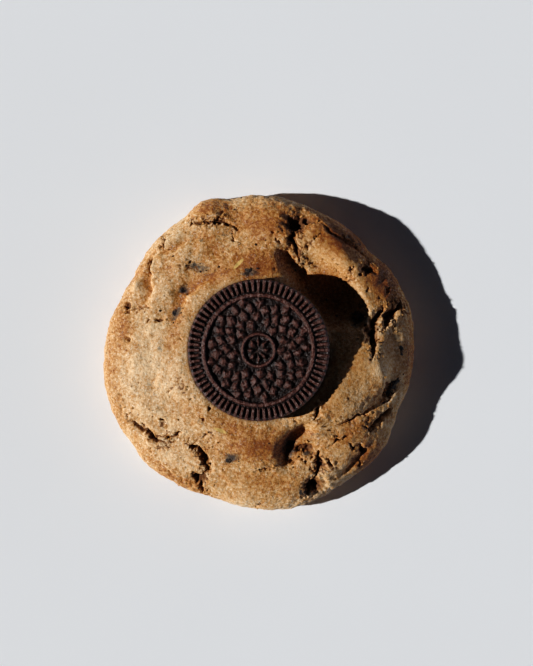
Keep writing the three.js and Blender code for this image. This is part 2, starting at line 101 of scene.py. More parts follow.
# The mound beside the sandwich, with a flat top and steep sides, in the same terms.
MOUND = (31.5, -8, 13, 10, 75, 3)

# The power of a bell with a flat top and steep sides.
STEEP = 4

# Smaller lumps that only the crust's skin has, in the same terms.
SMALL_LUMPS = [
    (-39.2, 21.4, 3.6, 1.8, 75, 1.8), (-18.3, 34, 2.4, 2.2, 0, 0.84), (-28, 37, 4.4, 2.4, 35, 0.84),
    (-24, 30, 4, 2.2, 30, 0.7), (-30, 21, 3, 4, 0, 0.7), (-14, 33, 4, 1.6, 10, -0.7),
    (-33, 8, 5, 1.8, 20, 0.84), (-28, 4, 4, 3, 0, -0.7), (-40, -2, 3, 5, 0, 0.7),
    (-34, -18, 6, 2.4, -20, 0.84), (-26, -16, 5, 2, -30, -0.56), (-8, -41, 6, 3, 0, 0.7),
    (10, -37, 5, 3, 20, 0.56), (24, -39, 5, 3, 30, 0.84), (-33, 29, 3.4, 1.4, 80, 0.98),
    (0, 46, 7, 2, 0, 0.56), (-5, -47.6, 5, 2, 0, 0.98), (22, 39, 4, 2.4, -40, 0.56),
    (28, 31, 4, 2, -45, 0.56), (5.6, -27, 4, 2, 40, 0.42), (39.4, -6.4, 3, 8, 8, 0.95),
]

# Smooth folds in the crust: the points each runs through, its half width and its depth.
FOLDS = [
    ([(9.4, -34.4), (9, -31), (10, -28.4), (12, -26.4), (15, -25)], 2.6, 3),
    ([(15, -25), (24.7, -24.4), (28, -22.9), (32.7, -19.6), (37.9, -16.3), (41, -13.6)], 1.8, 1.2),
    ([(-20, 27), (-25, 20), (-28.5, 11)], 2.6, 1.1),
    ([(8.4, 32), (10.6, 29), (13.6, 26)], 2.2, 3.2),
]

# Creases that only the crust's skin has, in the same terms. A negative depth is a ridge.
CREASES = [
    ([(-35.2, 30), (-35.4, 25.6), (-35.6, 21.5), (-37, 18), (-39.2, 16)], 1.3, 2.1),
    ([(-34, 31), (-33.6, 25), (-34.4, 19)], 1.1, -0.9),
    ([(-35, 31.4), (-30.4, 33.6), (-27, 34.6), (-23.2, 36.8), (-19, 37.8)], 1.1, 1.3),
    ([(-27.8, 9), (-27, 14), (-24.4, 19.6), (-19.4, 23.6), (-14.5, 26), (-9.6, 27.4)], 1.6, 1.7),
    ([(-43.6, 21.6), (-39, 28), (-34, 34)], 0.8, 0.75),
    ([(-30.6, -4), (-34, -8), (-35, -13)], 1.2, 0.75),
    ([(-14.4, -23.4), (-9.6, -24.8), (-5, -25)], 0.8, 0.6),
    ([(22, -41), (27, -38.6), (32, -34.6), (37, -29)], 1, 1.05),
    ([(-43.4, -23), (-38, -31.6), (-30, -38.6), (-20, -44)], 0.8, 0.5),
    ([(21.6, 42.6), (29, 37.6), (35, 31.4), (40, 24)], 1, 0.35),
    ([(7.6, -30.6), (10.4, -27), (13.4, -24.6), (17, -22.6)], 1.3, 1.2),
]

# Cracks: the points each runs through, its width at the surface and its depth.
CRACKS = [
    ([(12, 41), (10.6, 37.5), (12.2, 33.4), (13.4, 30)], 1.8, 3),
    ([(40.1, 14.9), (37.2, 10.4), (36.8, 4.6), (36.9, 0.8)], 2.6, 3.4),
    ([(46, 15.6), (43.6, 14), (41.8, 12.6), (40.9, 9)], 2.8, 2.8),
    ([(-42.3, -21.3), (-39, -23.9), (-36.1, -24.5), (-33.2, -27.8), (-29.6, -28.7)], 1.6, 2.4),
    ([(-31, -27.9), (-27.5, -26.5), (-24.2, -24.7)], 1.3, 1.6),
    ([(-22.8, -28.7), (-19.4, -30), (-17.1, -34.4), (-16.1, -37.3), (-18, -38.9)], 1.9, 2.8),
    ([(-18.8, -41.6), (-18.4, -44.8)], 1.4, 2),
    ([(19, -31.4), (19.8, -36.2), (18.2, -40.2)], 1.6, 2.6),
    ([(19.4, -16.6), (18.3, -20.4)], 1.8, 2.6),
    ([(-22.6, 42.4), (-15.5, 42.2), (-10.7, 42.8), (-6.6, 40.6)], 1.5, 1.8),
    ([(19.4, 43.2), (23.6, 38.8), (30.8, 35), (35.6, 30.8)], 0.8, 0.8),
    ([(41.4, -19), (38.6, -21.4), (35.6, -24.4)], 1.6, 1.8),
    ([(-35, 32), (-35.3, 29), (-35.3, 25.6)], 1, 2.2),
    ([(-18.5, -27), (-17.2, -25.8), (-15.4, -25.2)], 0.8, 1.1),
    ([(-36.8, -24.1), (-37.2, -21.6)], 0.9, 1.2),
    ([(-31.7, -20.2), (-31, -21.2), (-30.1, -22.3)], 0.8, 1.4),
    ([(-15.9, -17.9), (-15, -17.1)], 0.8, 1.2),
    ([(-18, -20), (-17.5, -21.6)], 0.8, 1.3),
    ([(-23.6, -11.3), (-22.2, -10.8)], 0.6, 0.9),
    ([(-28.8, -12.6), (-28.1, -11.3)], 0.5, 0.8),
    ([(-11.2, -36.2), (-11.1, -37.6)], 0.4, 0.8),
    ([(-5.4, -35.8), (-5.8, -37.3)], 0.4, 0.8),
    ([(-1.4, -37.5), (-0.2, -38.1), (0.6, -36.9), (2, -36.6), (4.4, -36.9), (6.6, -37)], 0.6, 0.9),
    ([(22.2, -33.2), (23.4, -34), (22.9, -35.2), (24.4, -36)], 0.8, 1.2),
    ([(29.6, -28.6), (30.6, -29.6), (31.6, -30.2)], 0.7, 1),
    ([(22.4, -29.6), (26.1, -27.7), (30.1, -25.9), (31, -24)], 0.8, 1.2),
    ([(26, -23), (30.5, -20.6), (34.1, -19), (38, -16.6)], 0.7, 1),
    ([(32.9, -34.4), (33, -37)], 0.9, 1.2),
    ([(39.2, -20.6), (42.2, -19), (43.8, -17.6)], 1.3, 1.5),
    ([(11.2, -20.4), (12.8, -22.6)], 0.7, 0.8),
    ([(17.4, 36.4), (19.1, 38.1), (20.8, 39)], 0.6, 0.9),
    ([(15.3, 35.4), (15.9, 32.8)], 0.6, 0.9),
    ([(26.6, 38.6), (28.6, 37), (30.6, 36.5)], 0.9, 1.2),
    ([(28.6, 25.4), (29.6, 24.4)], 0.7, 1.1),
    ([(42.8, 21.4), (41.1, 19.6)], 0.6, 0.8),
    ([(36.9, 0.9), (36.2, -1.6)], 0.7, 0.9),
    ([(-8, 40.8), (-8.4, 38.4), (-8.2, 36.6), (-4.2, 35.2)], 0.5, 0.8),
    ([(-30.3, 38.2), (-30.7, 34.2)], 1, 1.4),
    ([(-42.4, 14), (-38.6, 15.4), (-36.2, 15.5), (-33.8, 14.7)], 0.7, 1),
    ([(-25.3, 4.9), (-23.4, 4.5)], 0.6, 0.8),
    ([(-46.6, -13.6), (-44.6, -16.6), (-44.9, -20.4)], 0.6, 0.7),
    ([(-39.6, -28.3), (-34.6, -33.8), (-28.6, -38.4), (-20.4, -42.6)], 0.9, 0.6),
    ([(-2, -49.3), (1.4, -49.4)], 0.9, 1),
    ([(-2.6, 36), (2.4, 35), (5, 36.4)], 0.4, 0.5),
]

# Torn holes and pits in the crust: x, y, half length, half width, turn and depth.
HOLES = [
    (12.3, 42.6, 3.8, 2.8, 10, 4), (18.2, -42.9, 2.7, 2.3, 20, 3.6),
    (16.4, 43.6, 2, 1, -10, 3), (10.8, 37.9, 1.3, 1.8, 0, 3), (12.1, 33.4, 0.9, 1.7, 0, 2.6),
    (15.8, -45.1, 2, 0.7, 50, 2.4), (41.5, -11.6, 3.8, 1.6, 72, 1),
    (-19.4, -40.4, 2.3, 1.8, 20, 2.8), (14.4, -30.2, 3.6, 1.4, 5, 1.8),
    (33.7, -31, 1.7, 1, -60, 1.8), (35.4, 27.7, 2, 1.3, -20, 1.9),
    (-42.6, 15.8, 1.6, 1, -35, 1.5), (-31.7, 11.4, 1.3, 0.7, 10, 1.2),
    (-42.1, 4.8, 1, 0.7, -40, 1.1),
    (-42.4, 14, 1, 0.7, 20, 1.2), (-35.7, 10.9, 0.8, 0.4, 60, 0.8), (-30.9, 34.9, 0.9, 0.7, 0, 1.1),
    (-11.5, 45.8, 0.8, 0.5, 40, 0.9), (-33.9, -20, 0.6, 0.5, 0, 0.9), (33, 25.9, 0.8, 0.5, 70, 1.2),
    (30.4, 27, 0.8, 0.5, 0, 1), (35.3, 20.4, 0.7, 0.5, 40, 0.9), (16.2, 43.2, 1.4, 0.8, 30, 1.6),
    (4.7, 39, 0.5, 0.4, 0, 0.8), (5.6, 37.2, 0.5, 0.5, 0, 0.8), (6.6, 36.1, 0.8, 0.4, -20, 0.8),
    (37.4, -23.6, 0.9, 0.6, 20, 1.2), (34.4, -23.3, 0.8, 0.4, -50, 0.9), (26.2, -44.6, 2.2, 0.8, 20, 1),
    (13.4, -33.6, 1.3, 0.7, 0, 0.9), (17.6, -33, 0.9, 0.6, 30, 0.9), (41, -13.4, 1.7, 1, 70, 0.8),
    (-44.4, -13.4, 0.5, 0.4, 0, 0.6), (-41.7, -13.2, 0.5, 0.3, 40, 0.6), (-21.4, -14.2, 0.5, 0.4, 0, 0.7),
    (11, -34.7, 0.9, 0.5, 0, 1), (15.5, -34.5, 0.6, 0.4, 0, 0.8), (20, -14.4, 0.5, 0.4, 0, 0.6),
    (-26.2, 8.7, 0.4, 0.3, 0, 0.5), (-40.2, -29, 0.6, 0.4, 0, 0.8), (-34.8, -31, 0.4, 0.6, 0, 0.8),
    (-42.4, -20.4, 0.5, 0.5, 0, 0.8), (-45.6, -15.5, 0.5, 0.4, 0, 0.7),
]

# Rough torn dough where the skin has split: x, y, half length, half width, turn and amount.
TORN_PLACES = [
    (18, 28.6, 5, 1.6, -12, 0.8), (27.5, 24, 6, 1.4, -50, 0.6), (34.4, 14, 6, 1.2, -68, 0.6),
    (12, 36, 2.4, 5, 0, 0.8), (14, -31, 6, 3.2, 5, 0.9), (26, -26, 8, 2, 30, 0.5), (40, -17, 3.4, 2, 40, 0.6),
    (-30, -24, 8, 3, -30, 0.6), (-18, -34, 4, 6, 0, 0.5), (40, 12, 3.4, 4, 0, 0.6),
    (-22, 28, 5, 2, -20, 0.5), (17.4, -42, 4.6, 4, 0, 0.6), (-36, 14, 6, 2.4, 0, 0.5),
    (22, -25.5, 7, 2.4, 18, 0.8), (34, -21.5, 7, 1.8, 15, 0.7),
]

# Where the crust stayed smooth, in the same terms.
SMOOTH_PLACES = [
    (31, -3, 12, 10, 70, 0.75), (24, -14, 9, 7, 45, 0.7), (2, -30, 15, 5, 0, 0.5), (0, -42, 16, 5, 0, 0.4),
    (-12, 26, 11, 3.6, 28, 0.6), (3, 42, 9, 7, 0, 0.45), (-25, 8, 2.6, 9, -8, 0.4), (-26, -8, 3, 12, 15, 0.3),
    (5, 27, 9, 4, 0, 0.5), (44, 0, 6, 14, 0, 0.6), (37, 22, 4, 11, 32, 0.7), (33, -37, 9, 5, 35, 0.5),
    (26, 32, 16, 9, -45, 0.75), (30, -28, 14, 9, 30, 0.45), (36, 10, 9, 14, 0, 0.5),
]

# Where the crust baked darker, and where it stayed pale, in the same terms. The patch at (22, 20) darkens the
# hollow beside the sandwich: painted shade.
BROWNED_AND_SHADED_PLACES = [
    (31, -4, 11, 9, 70, 0.2), (22, -16, 9, 6, 40, 0.2), (2, -30, 16, 6, 0, 0.62), (0, -41, 16, 5, 0, 0.35),
    (4, 43, 15, 7, 0, 0.54), (24, 38, 12, 5, -42, 0.68), (-16, 47.6, 6, 3, 15, 0.58),
    (-10, 47.6, 3, 2, -30, 0.6), (-26, 12, 3, 15, -12, 0.25), (-12, 26, 12, 3, 28, 0.4),
    (-44, 9, 4, 9, 10, 0.45), (0, 29, 12, 5, 0, 0.65),
    (-8, -23, 14, 3, -18, 0.45), (40, 24, 6, 9, 30, 0.68), (-17, 36, 6, 5, 0, 0.35), (36, -34, 7, 7, 0, 0.45),
    (-46, -18, 3, 8, 0, 0.3), (-24, -42, 14, 3, -28, 0.35), (-48, 0, 3, 14, 0, 0.24),
    (-40, 22, 3, 8, -30, 0.2), (28, 26, 12, 6, -45, 0.12), (-27, 30, 12, 8, 40, 0.12),
    # The last patch below, at (22, 20), darkens the hollow beside the sandwich: painted shade.
    (37, -11, 4, 7, 10, 0.25), (30, -25, 10, 4, 30, 0.35), (22, 20, 9, 7, -45, 0.6),
    (50, -2, 2, 16, 0, 0.4), (31, 40, 14, 4, -38, 0.6),
]
PALE_PLACES = [
    (-34, -4, 10, 14, 0, 0.28), (-26, -34, 10, 7, 0, 0.1), (-20, -24, 14, 7, -20, 0.12),
]

# Where cocoa crumbs just under the skin stain the dough, in the same terms. The patches at (9.8, -30.6) and
# (25, 17) darken the fold below the sandwich and the hollow beside it: painted shade.
STAINED_AND_SHADED_PLACES = [
    (-19.4, 28, 4.6, 1.9, -16, 0.9), (-24.3, 21, 2, 1.3, 30, 1), (-26.6, 13.4, 3.4, 1.5, 62, 1),
    (-8.7, -33.2, 3.4, 1.9, 10, 1), (-6.5, 46.5, 2.4, 1.2, 10, 0.6), (43, -8, 3.4, 6, 0, 0.2),
    (44.6, 3, 2.4, 6.5, 0, 0.2), (-11.2, 38.8, 1.5, 1, 20, 0.7), (-21.7, 36.9, 0.8, 0.7, 0, 0.8),
    (-18.4, 36.7, 0.9, 0.8, 0, 0.9), (-31.5, 1.4, 1.5, 2.4, 20, 0.5), (-2.4, 26, 3.4, 1.4, 6, 1),
    (32.6, 11, 3.6, 3, 60, 0.8), (5, -29.6, 4, 4, 20, 0.35), (27, -25, 7, 2, 28, 0.45),
    (17, -43.6, 2.6, 2.4, 0, 0.7), (-35.4, -10.6, 2, 3, 0, 0.3), (-40, 15.4, 4, 1, 12, 0.4),
    (13, 28, 4, 2.4, 40, 0.5), (20.4, -41.6, 1, 1, 0, 0.7), (-30, 8.4, 3, 4, 0, 0.25),
    # The last patch below, at (9.8, -30.6), darkens the fold below the sandwich: painted shade.
    (11.1, -30.9, 1.4, 0.9, 0, 1), (15.9, -31.6, 1.8, 1.2, 10, 1), (9.8, -30.6, 2.4, 4.4, -15, 0.95),
    # The last patch below, at (25, 17), darkens the hollow beside the sandwich: painted shade.
    (-9, 40, 9, 6, 0, 0.22), (8, -25.6, 5, 1.4, 25, 0.4), (25, 17, 7, 6, -45, 0.35),
    (-19, 28, 7.4, 3, -18, 0.42), (-24.6, 21.4, 4.4, 2.2, 25, 0.42), (-27, 12, 5.6, 2.6, 62, 0.42),
    (-8.6, -33, 6.4, 3, 12, 0.4), (-3, 26.4, 5.4, 2, 6, 0.45), (1, -29.6, 5, 1.6, -15, 0.3),
    (19, -26, 6, 2, 15, 0.5), (30, -23.5, 7, 1.4, 18, 0.45),
]

# Short pale buttery streaks, in the same terms.
BUTTER_STREAKS = [(-6.6, 28.8, 2.6, 0.6, 45, 1), (-11.9, -24.4, 2.6, 0.6, -22, 1)]

# Broken biscuit pieces: the node each stands for, place, half sizes, turn and how far each stands
# out of the crust.
BISCUIT_PIECES = {
    "biscuit_piece_right": (42.6, -9.6, 5, 2.7, 2, 62, -0.55),
    "biscuit_piece_rim": (45.2, 2, 3.6, 1.9, 1.6, 95, -0.5),
    "biscuit_piece_hollow": (32.4, 11.6, 3.2, 2.1, 1.7, -48, 0.4),
    "biscuit_piece_back": (-3, 27, 2.6, 1.3, 1.5, 8, 0.15),
    "biscuit_piece_left": (-26.4, 13.4, 2.8, 1.4, 1.5, 60, -0.9),
    "biscuit_piece_upper_left": (-24, 21.2, 2.1, 1.3, 1.3, 30, -0.9),
    "biscuit_piece_front": (-8.9, -33.6, 2.9, 1.5, 1.5, 22, -0.2),
    "biscuit_piece_tear": (14, -44.2, 2.2, 1.4, 1.3, -60, -0.1),
}

# How many flat breaks cut each piece, how far off the middle they are in shares of its size, how far
# a point has to face a break to be cut, and the seed of the first piece.
SHARD_BREAKS = 9
BREAK_FROM_TO = (0.72, 0.92)
BREAK_FACING = 0.05
FIRST_SHARD_SEED = 70

# Loose crumbs: the mask they lie on, how many to a square metre, smallest, largest and seed.
DOUGH_CRUMBS = ("torn", 160000, 0.35, 1.1, 5)
COCOA_CRUMBS = ("stain_and_shade", 110000, 0.3, 0.95, 8)

# The steps of the dough's mesh, and how the dough meets the sandwich.
CRUST_STEP = 0.46
SIDE_STEP = 0.6
POCKET_STEP = 2.4
BASE_STEP = 1.6
POCKET_RADIUS = 22.58
POCKET_FLOOR = 20.9
LIP_REACH = 1.1
LIP_DROP = 0.45
POCKET_RINGS = [3, 7, 12, 17, 21, POCKET_RADIUS]
BASE_RINGS = [44, 40, 35, 29, 22, 14, 6]

# A wafer's face: radial flutes round the rim, a plain raised ring inside them, knobs set out like
# the seeds of a sunflower, and a round medallion with a ring of petals. The valleys between the flutes
# rise by a share at the edge, and the ledge outside the ring lies a share of the flutes' depth down.
COUNTS = {"Flutes": 72, "Knobs": 64, "Petals": 8}
LENGTHS = {
    "Radius": SANDWICH_RADIUS, "Thickness": WAFER_THICK, "Face Depth": 1,
    "Flute Inner": 18.5, "Flute Depth": 1, "Valley Inset": 0.15, "Ring Inner": 16.7, "Ring Outer": 18,
    "Knob Inner": 7, "Knob Outer": 15.9, "Knob Long": 2.2, "Knob Wide": 1.8,
    "Medallion Radius": 5.6, "Medallion Rim": 1, "Petal At": 2.6, "Petal Long": 1.6, "Petal Wide": 0.8,
    "Ragged": 0.18, "Bend": 2.1,
}
SAMPLES_PER_FLUTE = 10
BEVEL_RINGS = 6
EDGE_RINGS = 8
FLUTE_OUTER = 21.7
EDGE_RIDGE = 2.5
EDGE_FOOT = 0.35
EDGE_SOFTNESS = 0.28
UNDERSIDE_RINGS = [20, 14, 7, 1]
GOLDEN_TURN = 137.508
VALLEY_RISE = 0.88
LEDGE_SHARE = 0.45
WAFER_STEP = 0.2
WAFER_GRAIN_ROOM = 0.12
BENDS_PER_METRE = 480
GRAINS_PER_METRE = 750

# The camera looks straight down, and the light comes from the left. The sky's light is strong low at
# the right and weak overhead, and the picture's tone curve is drawn through the named tones.
CAMERA_PLACE = (2.6, 6.9, 620)
FOCAL_PIXELS = 1871.7
PICTURE_HEIGHT = 666
SENSOR = 36
SUN_AZIMUTH = 6
SUN_ELEVATION = 36
SUN_STRENGTH = 4.45
SUN_SOFTNESS = 1.3
SUN_COLOUR = (0.99, 0.995, 1)
FILL_OVERHEAD = 0.014
FILL_LOW = 0.15
FILL_RIGHT = 20
OVERHEAD_FROM_TO = (0.03, 0.27)
RIGHT_FROM_TO = (0.2, 0.9)
FILL_COLOUR = (0.82, 0.94, 1.22, 1)
FLOOR_SIZE = 4000
NEAREST_SEEN = 10
FARTHEST_SEEN = 20000
SHADOW_DROP = 0.07
CURVE_TONES = (0.04, 0.1, 0.2, 0.35, 0.55, 0.8)

# How the crust's cuts are drawn: how far the cracks' lines and the holes' edges wander, and how far
# apart and how deep the pits and hair cracks are.
CRACK_WOBBLE = 0.55
HOLE_WOBBLE = 0.5
PIT_SPACING = 2.3
PIT_DEPTH = 0.55
HAIR_SPACING = 3.4
HAIR_DEPTH = 0.34

# The mesh is finer where the cuts or the torn dough pass these amounts.
FINER_DEPTH = 0.15
FINER_TORN = 0.62

# The heights between which the crust's relief fades out above the base.
FOOT_FADE = (0.2, 3)

# Waves in a surface: the height, size and seed of each.
BROAD_WAVES = [(0.22, 7.5, 41), (0.2, 3.9, 42)]
SMALL_WAVES = [(0.2, 1.9, 43), (0.1, 1, 44)]
TORN_WAVES = [(0.18, 1.3, 48), (0.08, 0.7, 49)]
CUT_WAVES = [(0.4, 1.4, 54), (0.2, 0.7, 55)]

# The shader's settings for a floury, matt surface.
MATT = {"Diffuse Roughness": 1}


# Plain formulas.


def bell(distance, half, power=2):
    """1 at the middle, falling to 0.37 at the half width."""
    return np.exp(-(np.abs(distance / half) ** power))


def smooth(value, low, high):
    """0 below the low value, 1 above the high one, and smooth between them."""
    share = np.clip((value - low) / (high - low), 0, 1)
    return share * share * (3 - 2 * share)


def turn_between(first, second):
    """The smaller angle between two directions, in degrees."""
    return np.abs((first - second + 180) % 360 - 180)


def round_swells(degrees, swells):
    """The sum of swells that lie round the cookie: the angle, half width and size of each."""
    return sum(size * bell(turn_between(degrees, at), half) for at, half, size in swells)


def from_sandwich(x, y):
    """Distance from the sandwich's middle, and direction in degrees."""
    from_x, from_y = x - SANDWICH_X, y - SANDWICH_Y
    return np.hypot(from_x, from_y), np.degrees(np.arctan2(from_y, from_x))


def oval_reach(x, y, place_x, place_y, long, wide, turn):
    """0 in the middle of a turned oval, and 1 at its edge."""
    cos, sin = math.cos(math.radians(turn)), math.sin(math.radians(turn))
    along = (x - place_x) * cos + (y - place_y) * sin
    across = (y - place_y) * cos - (x - place_x) * sin
    return np.hypot(along / long, across / wide)


def lump(x, y, oval, power=2):
    """How far an oval lump lifts the crust."""
    *form, height = oval
    return height * bell(oval_reach(x, y, *form), 1, power)


def patches(x, y, places):
    """The most that any of some oval patches has at each place."""
    return np.max([lump(x, y, place) for place in places], axis=0)


def route_distance(x, y, through):
    """The distance to a line of straight runs, and the share of its length at the nearest point."""
    lengths = [math.dist(a, b) for a, b in zip(through, through[1:])]
    nearest = np.full_like(x, np.inf)
    share = np.zeros_like(x)
    passed = 0
    for (ax, ay), (bx, by), length in zip(through, through[1:], lengths):
        along = np.clip(((x - ax) * (bx - ax) + (y - ay) * (by - ay)) / length**2, 0, 1)
        distance = np.hypot(x - ax - along * (bx - ax), y - ay - along * (by - ay))
        share = np.where(distance < nearest, (passed + along * length) / sum(lengths), share)
        nearest = np.minimum(nearest, distance)
        passed += length
    return nearest, share


# Repeatable noise.

GRADIENTS = np.random.default_rng(11).normal(size=(256, 3))
GRADIENTS /= np.linalg.norm(GRADIENTS, axis=1, keepdims=True)
NOISE_GAIN = 1.9
SEED_SHIFT = np.array([19.19, 7.31, 3.77])
LARGEST_NUMBER = 0xFFFFFF


def cell_number(cell, seed=0):
    """A repeatable whole number for each cell of a grid, scrambled with large primes."""
    cell = cell.astype(np.uint64)
    number = cell[..., 0] * np.uint64(374761393) + cell[..., 1] * np.uint64(668265263)
    number += cell[..., 2] * np.uint64(2246822519) + np.uint64(seed * 3266489917)
    number = (number ^ (number >> np.uint64(15))) * np.uint64(2654435761)
    return (number ^ (number >> np.uint64(13))) & np.uint64(LARGEST_NUMBER)


def noise(points, size, seed=0):
    """Gradient noise from about -1 to 1, with bumps of the given size."""
    scaled = points / size + seed * SEED_SHIFT
    cell = np.floor(scaled).astype(np.int64)
    inside = scaled - cell
    fade = inside**3 * (inside * (inside * 6 - 15) + 10)
    total = np.zeros(len(points))
    for corner in itertools.product((0, 1), repeat=3):
        corner = np.array(corner)
        gradient = GRADIENTS[cell_number(cell + corner) % np.uint64(len(GRADIENTS))]
        weight = np.where(corner, fade, 1 - fade).prod(axis=1)
        total += weight * ((inside - corner) * gradient).sum(axis=1)
    return total * NOISE_GAIN


def waves(points, terms):
    """A sum of noises: the height, size and seed of each."""
    return sum(height * noise(points, size, seed) for height, size, seed in terms)


def layered(points, size, layers, seed):
    """Noise with finer layers on it, each half the size and half the height of the last."""
    return waves(points, [(0.5**i, size / 2**i, seed + i) for i in range(layers)])


def cells(points, size, seed=0):
    """Distances to the nearest and second nearest of scattered spots, and the nearest one's number."""
    scaled = points / size
    cell = np.floor(scaled).astype(np.int64)
    nearest, second = np.full((2, len(points)), np.inf)
    chosen = np.zeros(len(points))
    for offset in itertools.product((-1, 0, 1), repeat=3):
        neighbour = cell + np.array(offset)
        *jitter, number = [cell_number(neighbour, seed + i) / LARGEST_NUMBER for i in range(4)]
        distance = np.linalg.norm(neighbour + np.stack(jitter, axis=1) - scaled, axis=1)
        second = np.where(distance < nearest, nearest, np.minimum(second, distance))
        chosen = np.where(distance < nearest, number, chosen)
        nearest = np.minimum(nearest, distance)
    return nearest * size, second * size, chosen


# The crust's form.


def outline_radius(degrees):
    """The radius of the baked cookie's outline in a direction."""
    return BAKED_RADIUS + round_swells(degrees, OUTLINE_SWELLS)


def dome_lift(share):
    """The plain dome's rise at a share of its radius: 1 in the middle and 0 at the outline."""
    return np.clip(1 - share**DOME_FULLNESS, 0, None) ** DOME_EDGE


def relief(x, y):
    """How far the crust at a place lies above or below the plain dome."""
    distance, direction = from_sandwich(x, y)
    rise = round_swells(direction, COLLAR_RISES) * bell(distance - COLLAR_AT, COLLAR_HALF)
    facing = bell(turn_between(direction, HOLLOW["at"]), HOLLOW["half"], STEEP)
    rise -= HOLLOW["depth"] * facing * bell(distance - HOLLOW["middle"], HOLLOW["reach"], STEEP)
    rise += sum(lump(x, y, oval) for oval in LUMPS) + lump(x, y, MOUND, STEEP)
    for through, half, depth in FOLDS:
        rise -= depth * bell(route_distance(x, y, through)[0], half)
    return rise


def crust_height(x, y):
    """The crust's height at a place. The relief fades out towards the widest part."""
    direction = np.degrees(np.arctan2(y, x))
    share = np.hypot(x, y) / outline_radius(direction)
    lift = dome_lift(share)
    dome = WIDEST_AT + (DOME_TOP - WIDEST_AT) * lift
    fuller = 1 + round_swells(direction, FLANKS) * share**3
    return dome * fuller + relief(x, y) * smooth(lift, 0, RELIEF_FADE)


def skin_relief(x, y):
    """The small lumps and creases that only the crust's skin has."""
    rise = sum(lump(x, y, oval) for oval in SMALL_LUMPS)
    for through, half, depth in CREASES:
        distance, share = route_distance(x, y, through)
        rise -= depth * bell(distance, half) * np.sin(np.pi * np.clip(share, 0.06, 0.94))
    return rise


def crust_cuts(points):
    """How deep the cracks and holes cut at each place, and how rough and torn they leave it."""
    flat = points * (1, 1, 0)
    x, y = (points[:, i] + CRACK_WOBBLE * layered(flat, 2.4, layers=3, seed=1 + 4 * i) for i in (0, 1))
    width_change = 1 + 0.5 * layered(flat, 2.8, layers=2, seed=9)
    depth, lips, torn = np.zeros((3, len(points)))
    for through, wide, deep in CRACKS:
        distance, share = route_distance(x, y, through)
        taper = 0.35 + 0.65 * np.sin(np.pi * np.clip(share, 0.02, 0.98))
        half = wide / 2 * taper * width_change
        gap = 1 - smooth(distance, 0.25 * half, 1.05 * half)
        shoulder = 1 - smooth(distance, 0.8 * half, 2.3 * half)
        depth = np.maximum(depth, deep * taper * (0.72 * gap + 0.28 * shoulder))
        lips = np.maximum(lips, wide * taper * bell(distance - 2.4 * half, 0.5 + 0.35 * wide))
        torn = np.maximum(torn, np.minimum(1, 0.7 * wide) * bell(distance, 0.8 + 1.2 * wide))
    edge_x = x + HOLE_WOBBLE * noise(flat, 1.5, seed=13)
    edge_y = y + HOLE_WOBBLE * noise(flat, 1.5, seed=14)
    for *oval, deep in HOLES:
        reach = oval_reach(edge_x, edge_y, *oval)
        gap = 1 - smooth(reach, 0.45, 1.05)
        shoulder = 1 - smooth(reach, 0.9, 1.9)
        depth = np.maximum(depth, deep * (0.75 * gap + 0.25 * shoulder))
        lips = np.maximum(lips, 0.6 * bell(reach - 1.8, 0.4))
        torn = np.maximum(torn, 0.8 * bell(reach, 1.7))
    return depth, lips, torn


def crust_pores(points, torn):
    """Small pits and hair cracks, more of them where the dough is torn."""
    near, _, number = cells(points, PIT_SPACING, seed=21)
    pit_radius = 0.2 + 0.34 * ((number * 7.7) % 1)
    pitted = number < 0.1 + 0.45 * torn
    pits = np.where(pitted, PIT_DEPTH * (1 - smooth(near, 0.3 * pit_radius, 1.15 * pit_radius)), 0)
    warped = points + 0.5 * np.stack([noise(points, 1.6, seed) for seed in (23, 24, 25)], axis=1)
    first, after, _ = cells(warped, HAIR_SPACING, seed=27)
    where = smooth(noise(points, 9, seed=31) + 1.6 * torn, 0.6, 1.1)
    return pits, HAIR_DEPTH * where * (1 - smooth(after - first, 0.06, 0.3))


def crust_grain(points, torn, rugged):
    """The uneven surface of the crust, from broad waves down to grain, and its fine part alone."""
    first, after, _ = cells(points, 1.2, seed=47)
    crumbs = 0.22 * smooth(after - first, 0.05, 0.6) - 0.11
    rough = waves(points, TORN_WAVES) + 1.05 * crumbs
    small = waves(points, SMALL_WAVES) * rugged * (1 + 0.3 * torn) + torn * rough
    return waves(points, BROAD_WAVES) * (0.5 + 0.6 * rugged) + small, small


# Meshes.


def turns(count):
    """Angles evenly round a circle."""
    return np.arange(count) * 2 * np.pi / count


def ring_at(angle, radius, height, x=0, y=0):
    """A ring of points, with a radius and a height for all of them or for each."""
    across = (x + radius * np.cos(angle), y + radius * np.sin(angle))
    return np.stack([*across, np.broadcast_to(height, angle.shape)], axis=1)


def closed_skin(rings, centre):
    """A closed surface over rings of points, each zipped to the next, with a point in the first one."""
    counts = [len(ring) for ring in rings]
    triangles = []
    start = 0
    for inner, outer in zip(counts, counts[1:]):
        following = start + inner
        i = j = 0
        while i < inner or j < outer:
            near, far = start + i % inner, following + j % outer
            if j >= outer or (i < inner and (i + 1) * outer <= (j + 1) * inner):
                i += 1
                triangles.append((near, far, start + i % inner))
            else:
                j += 1
                triangles.append((near, far, following + j % outer))
        start = following
    triangles += [(start, start + i + 1, start + i) for i in range(1, counts[-1] - 1)]
    middle = sum(counts)
    triangles += [(middle, i, (i + 1) % counts[0]) for i in range(counts[0])]
    return np.vstack([*rings, [centre]]), np.array(triangles)


def vertex_normals(points, triangles):
    corners = points[triangles]
    faces = np.cross(corners[:, 1] - corners[:, 0], corners[:, 2] - corners[:, 0])
    normals = np.zeros_like(points)
    for k in range(3):
        np.add.at(normals, triangles[:, k], faces)
    return normals / np.maximum(np.linalg.norm(normals, axis=1, keepdims=True), 1e-12)


def plain_arrays(mesh):
    """A working mesh's points and triangles. The working mesh is freed."""
    points = np.array([v.co for v in mesh.verts])
    triangles = np.array([[v.index for v in f.verts] for f in mesh.faces])
    mesh.free()
    return points, triangles


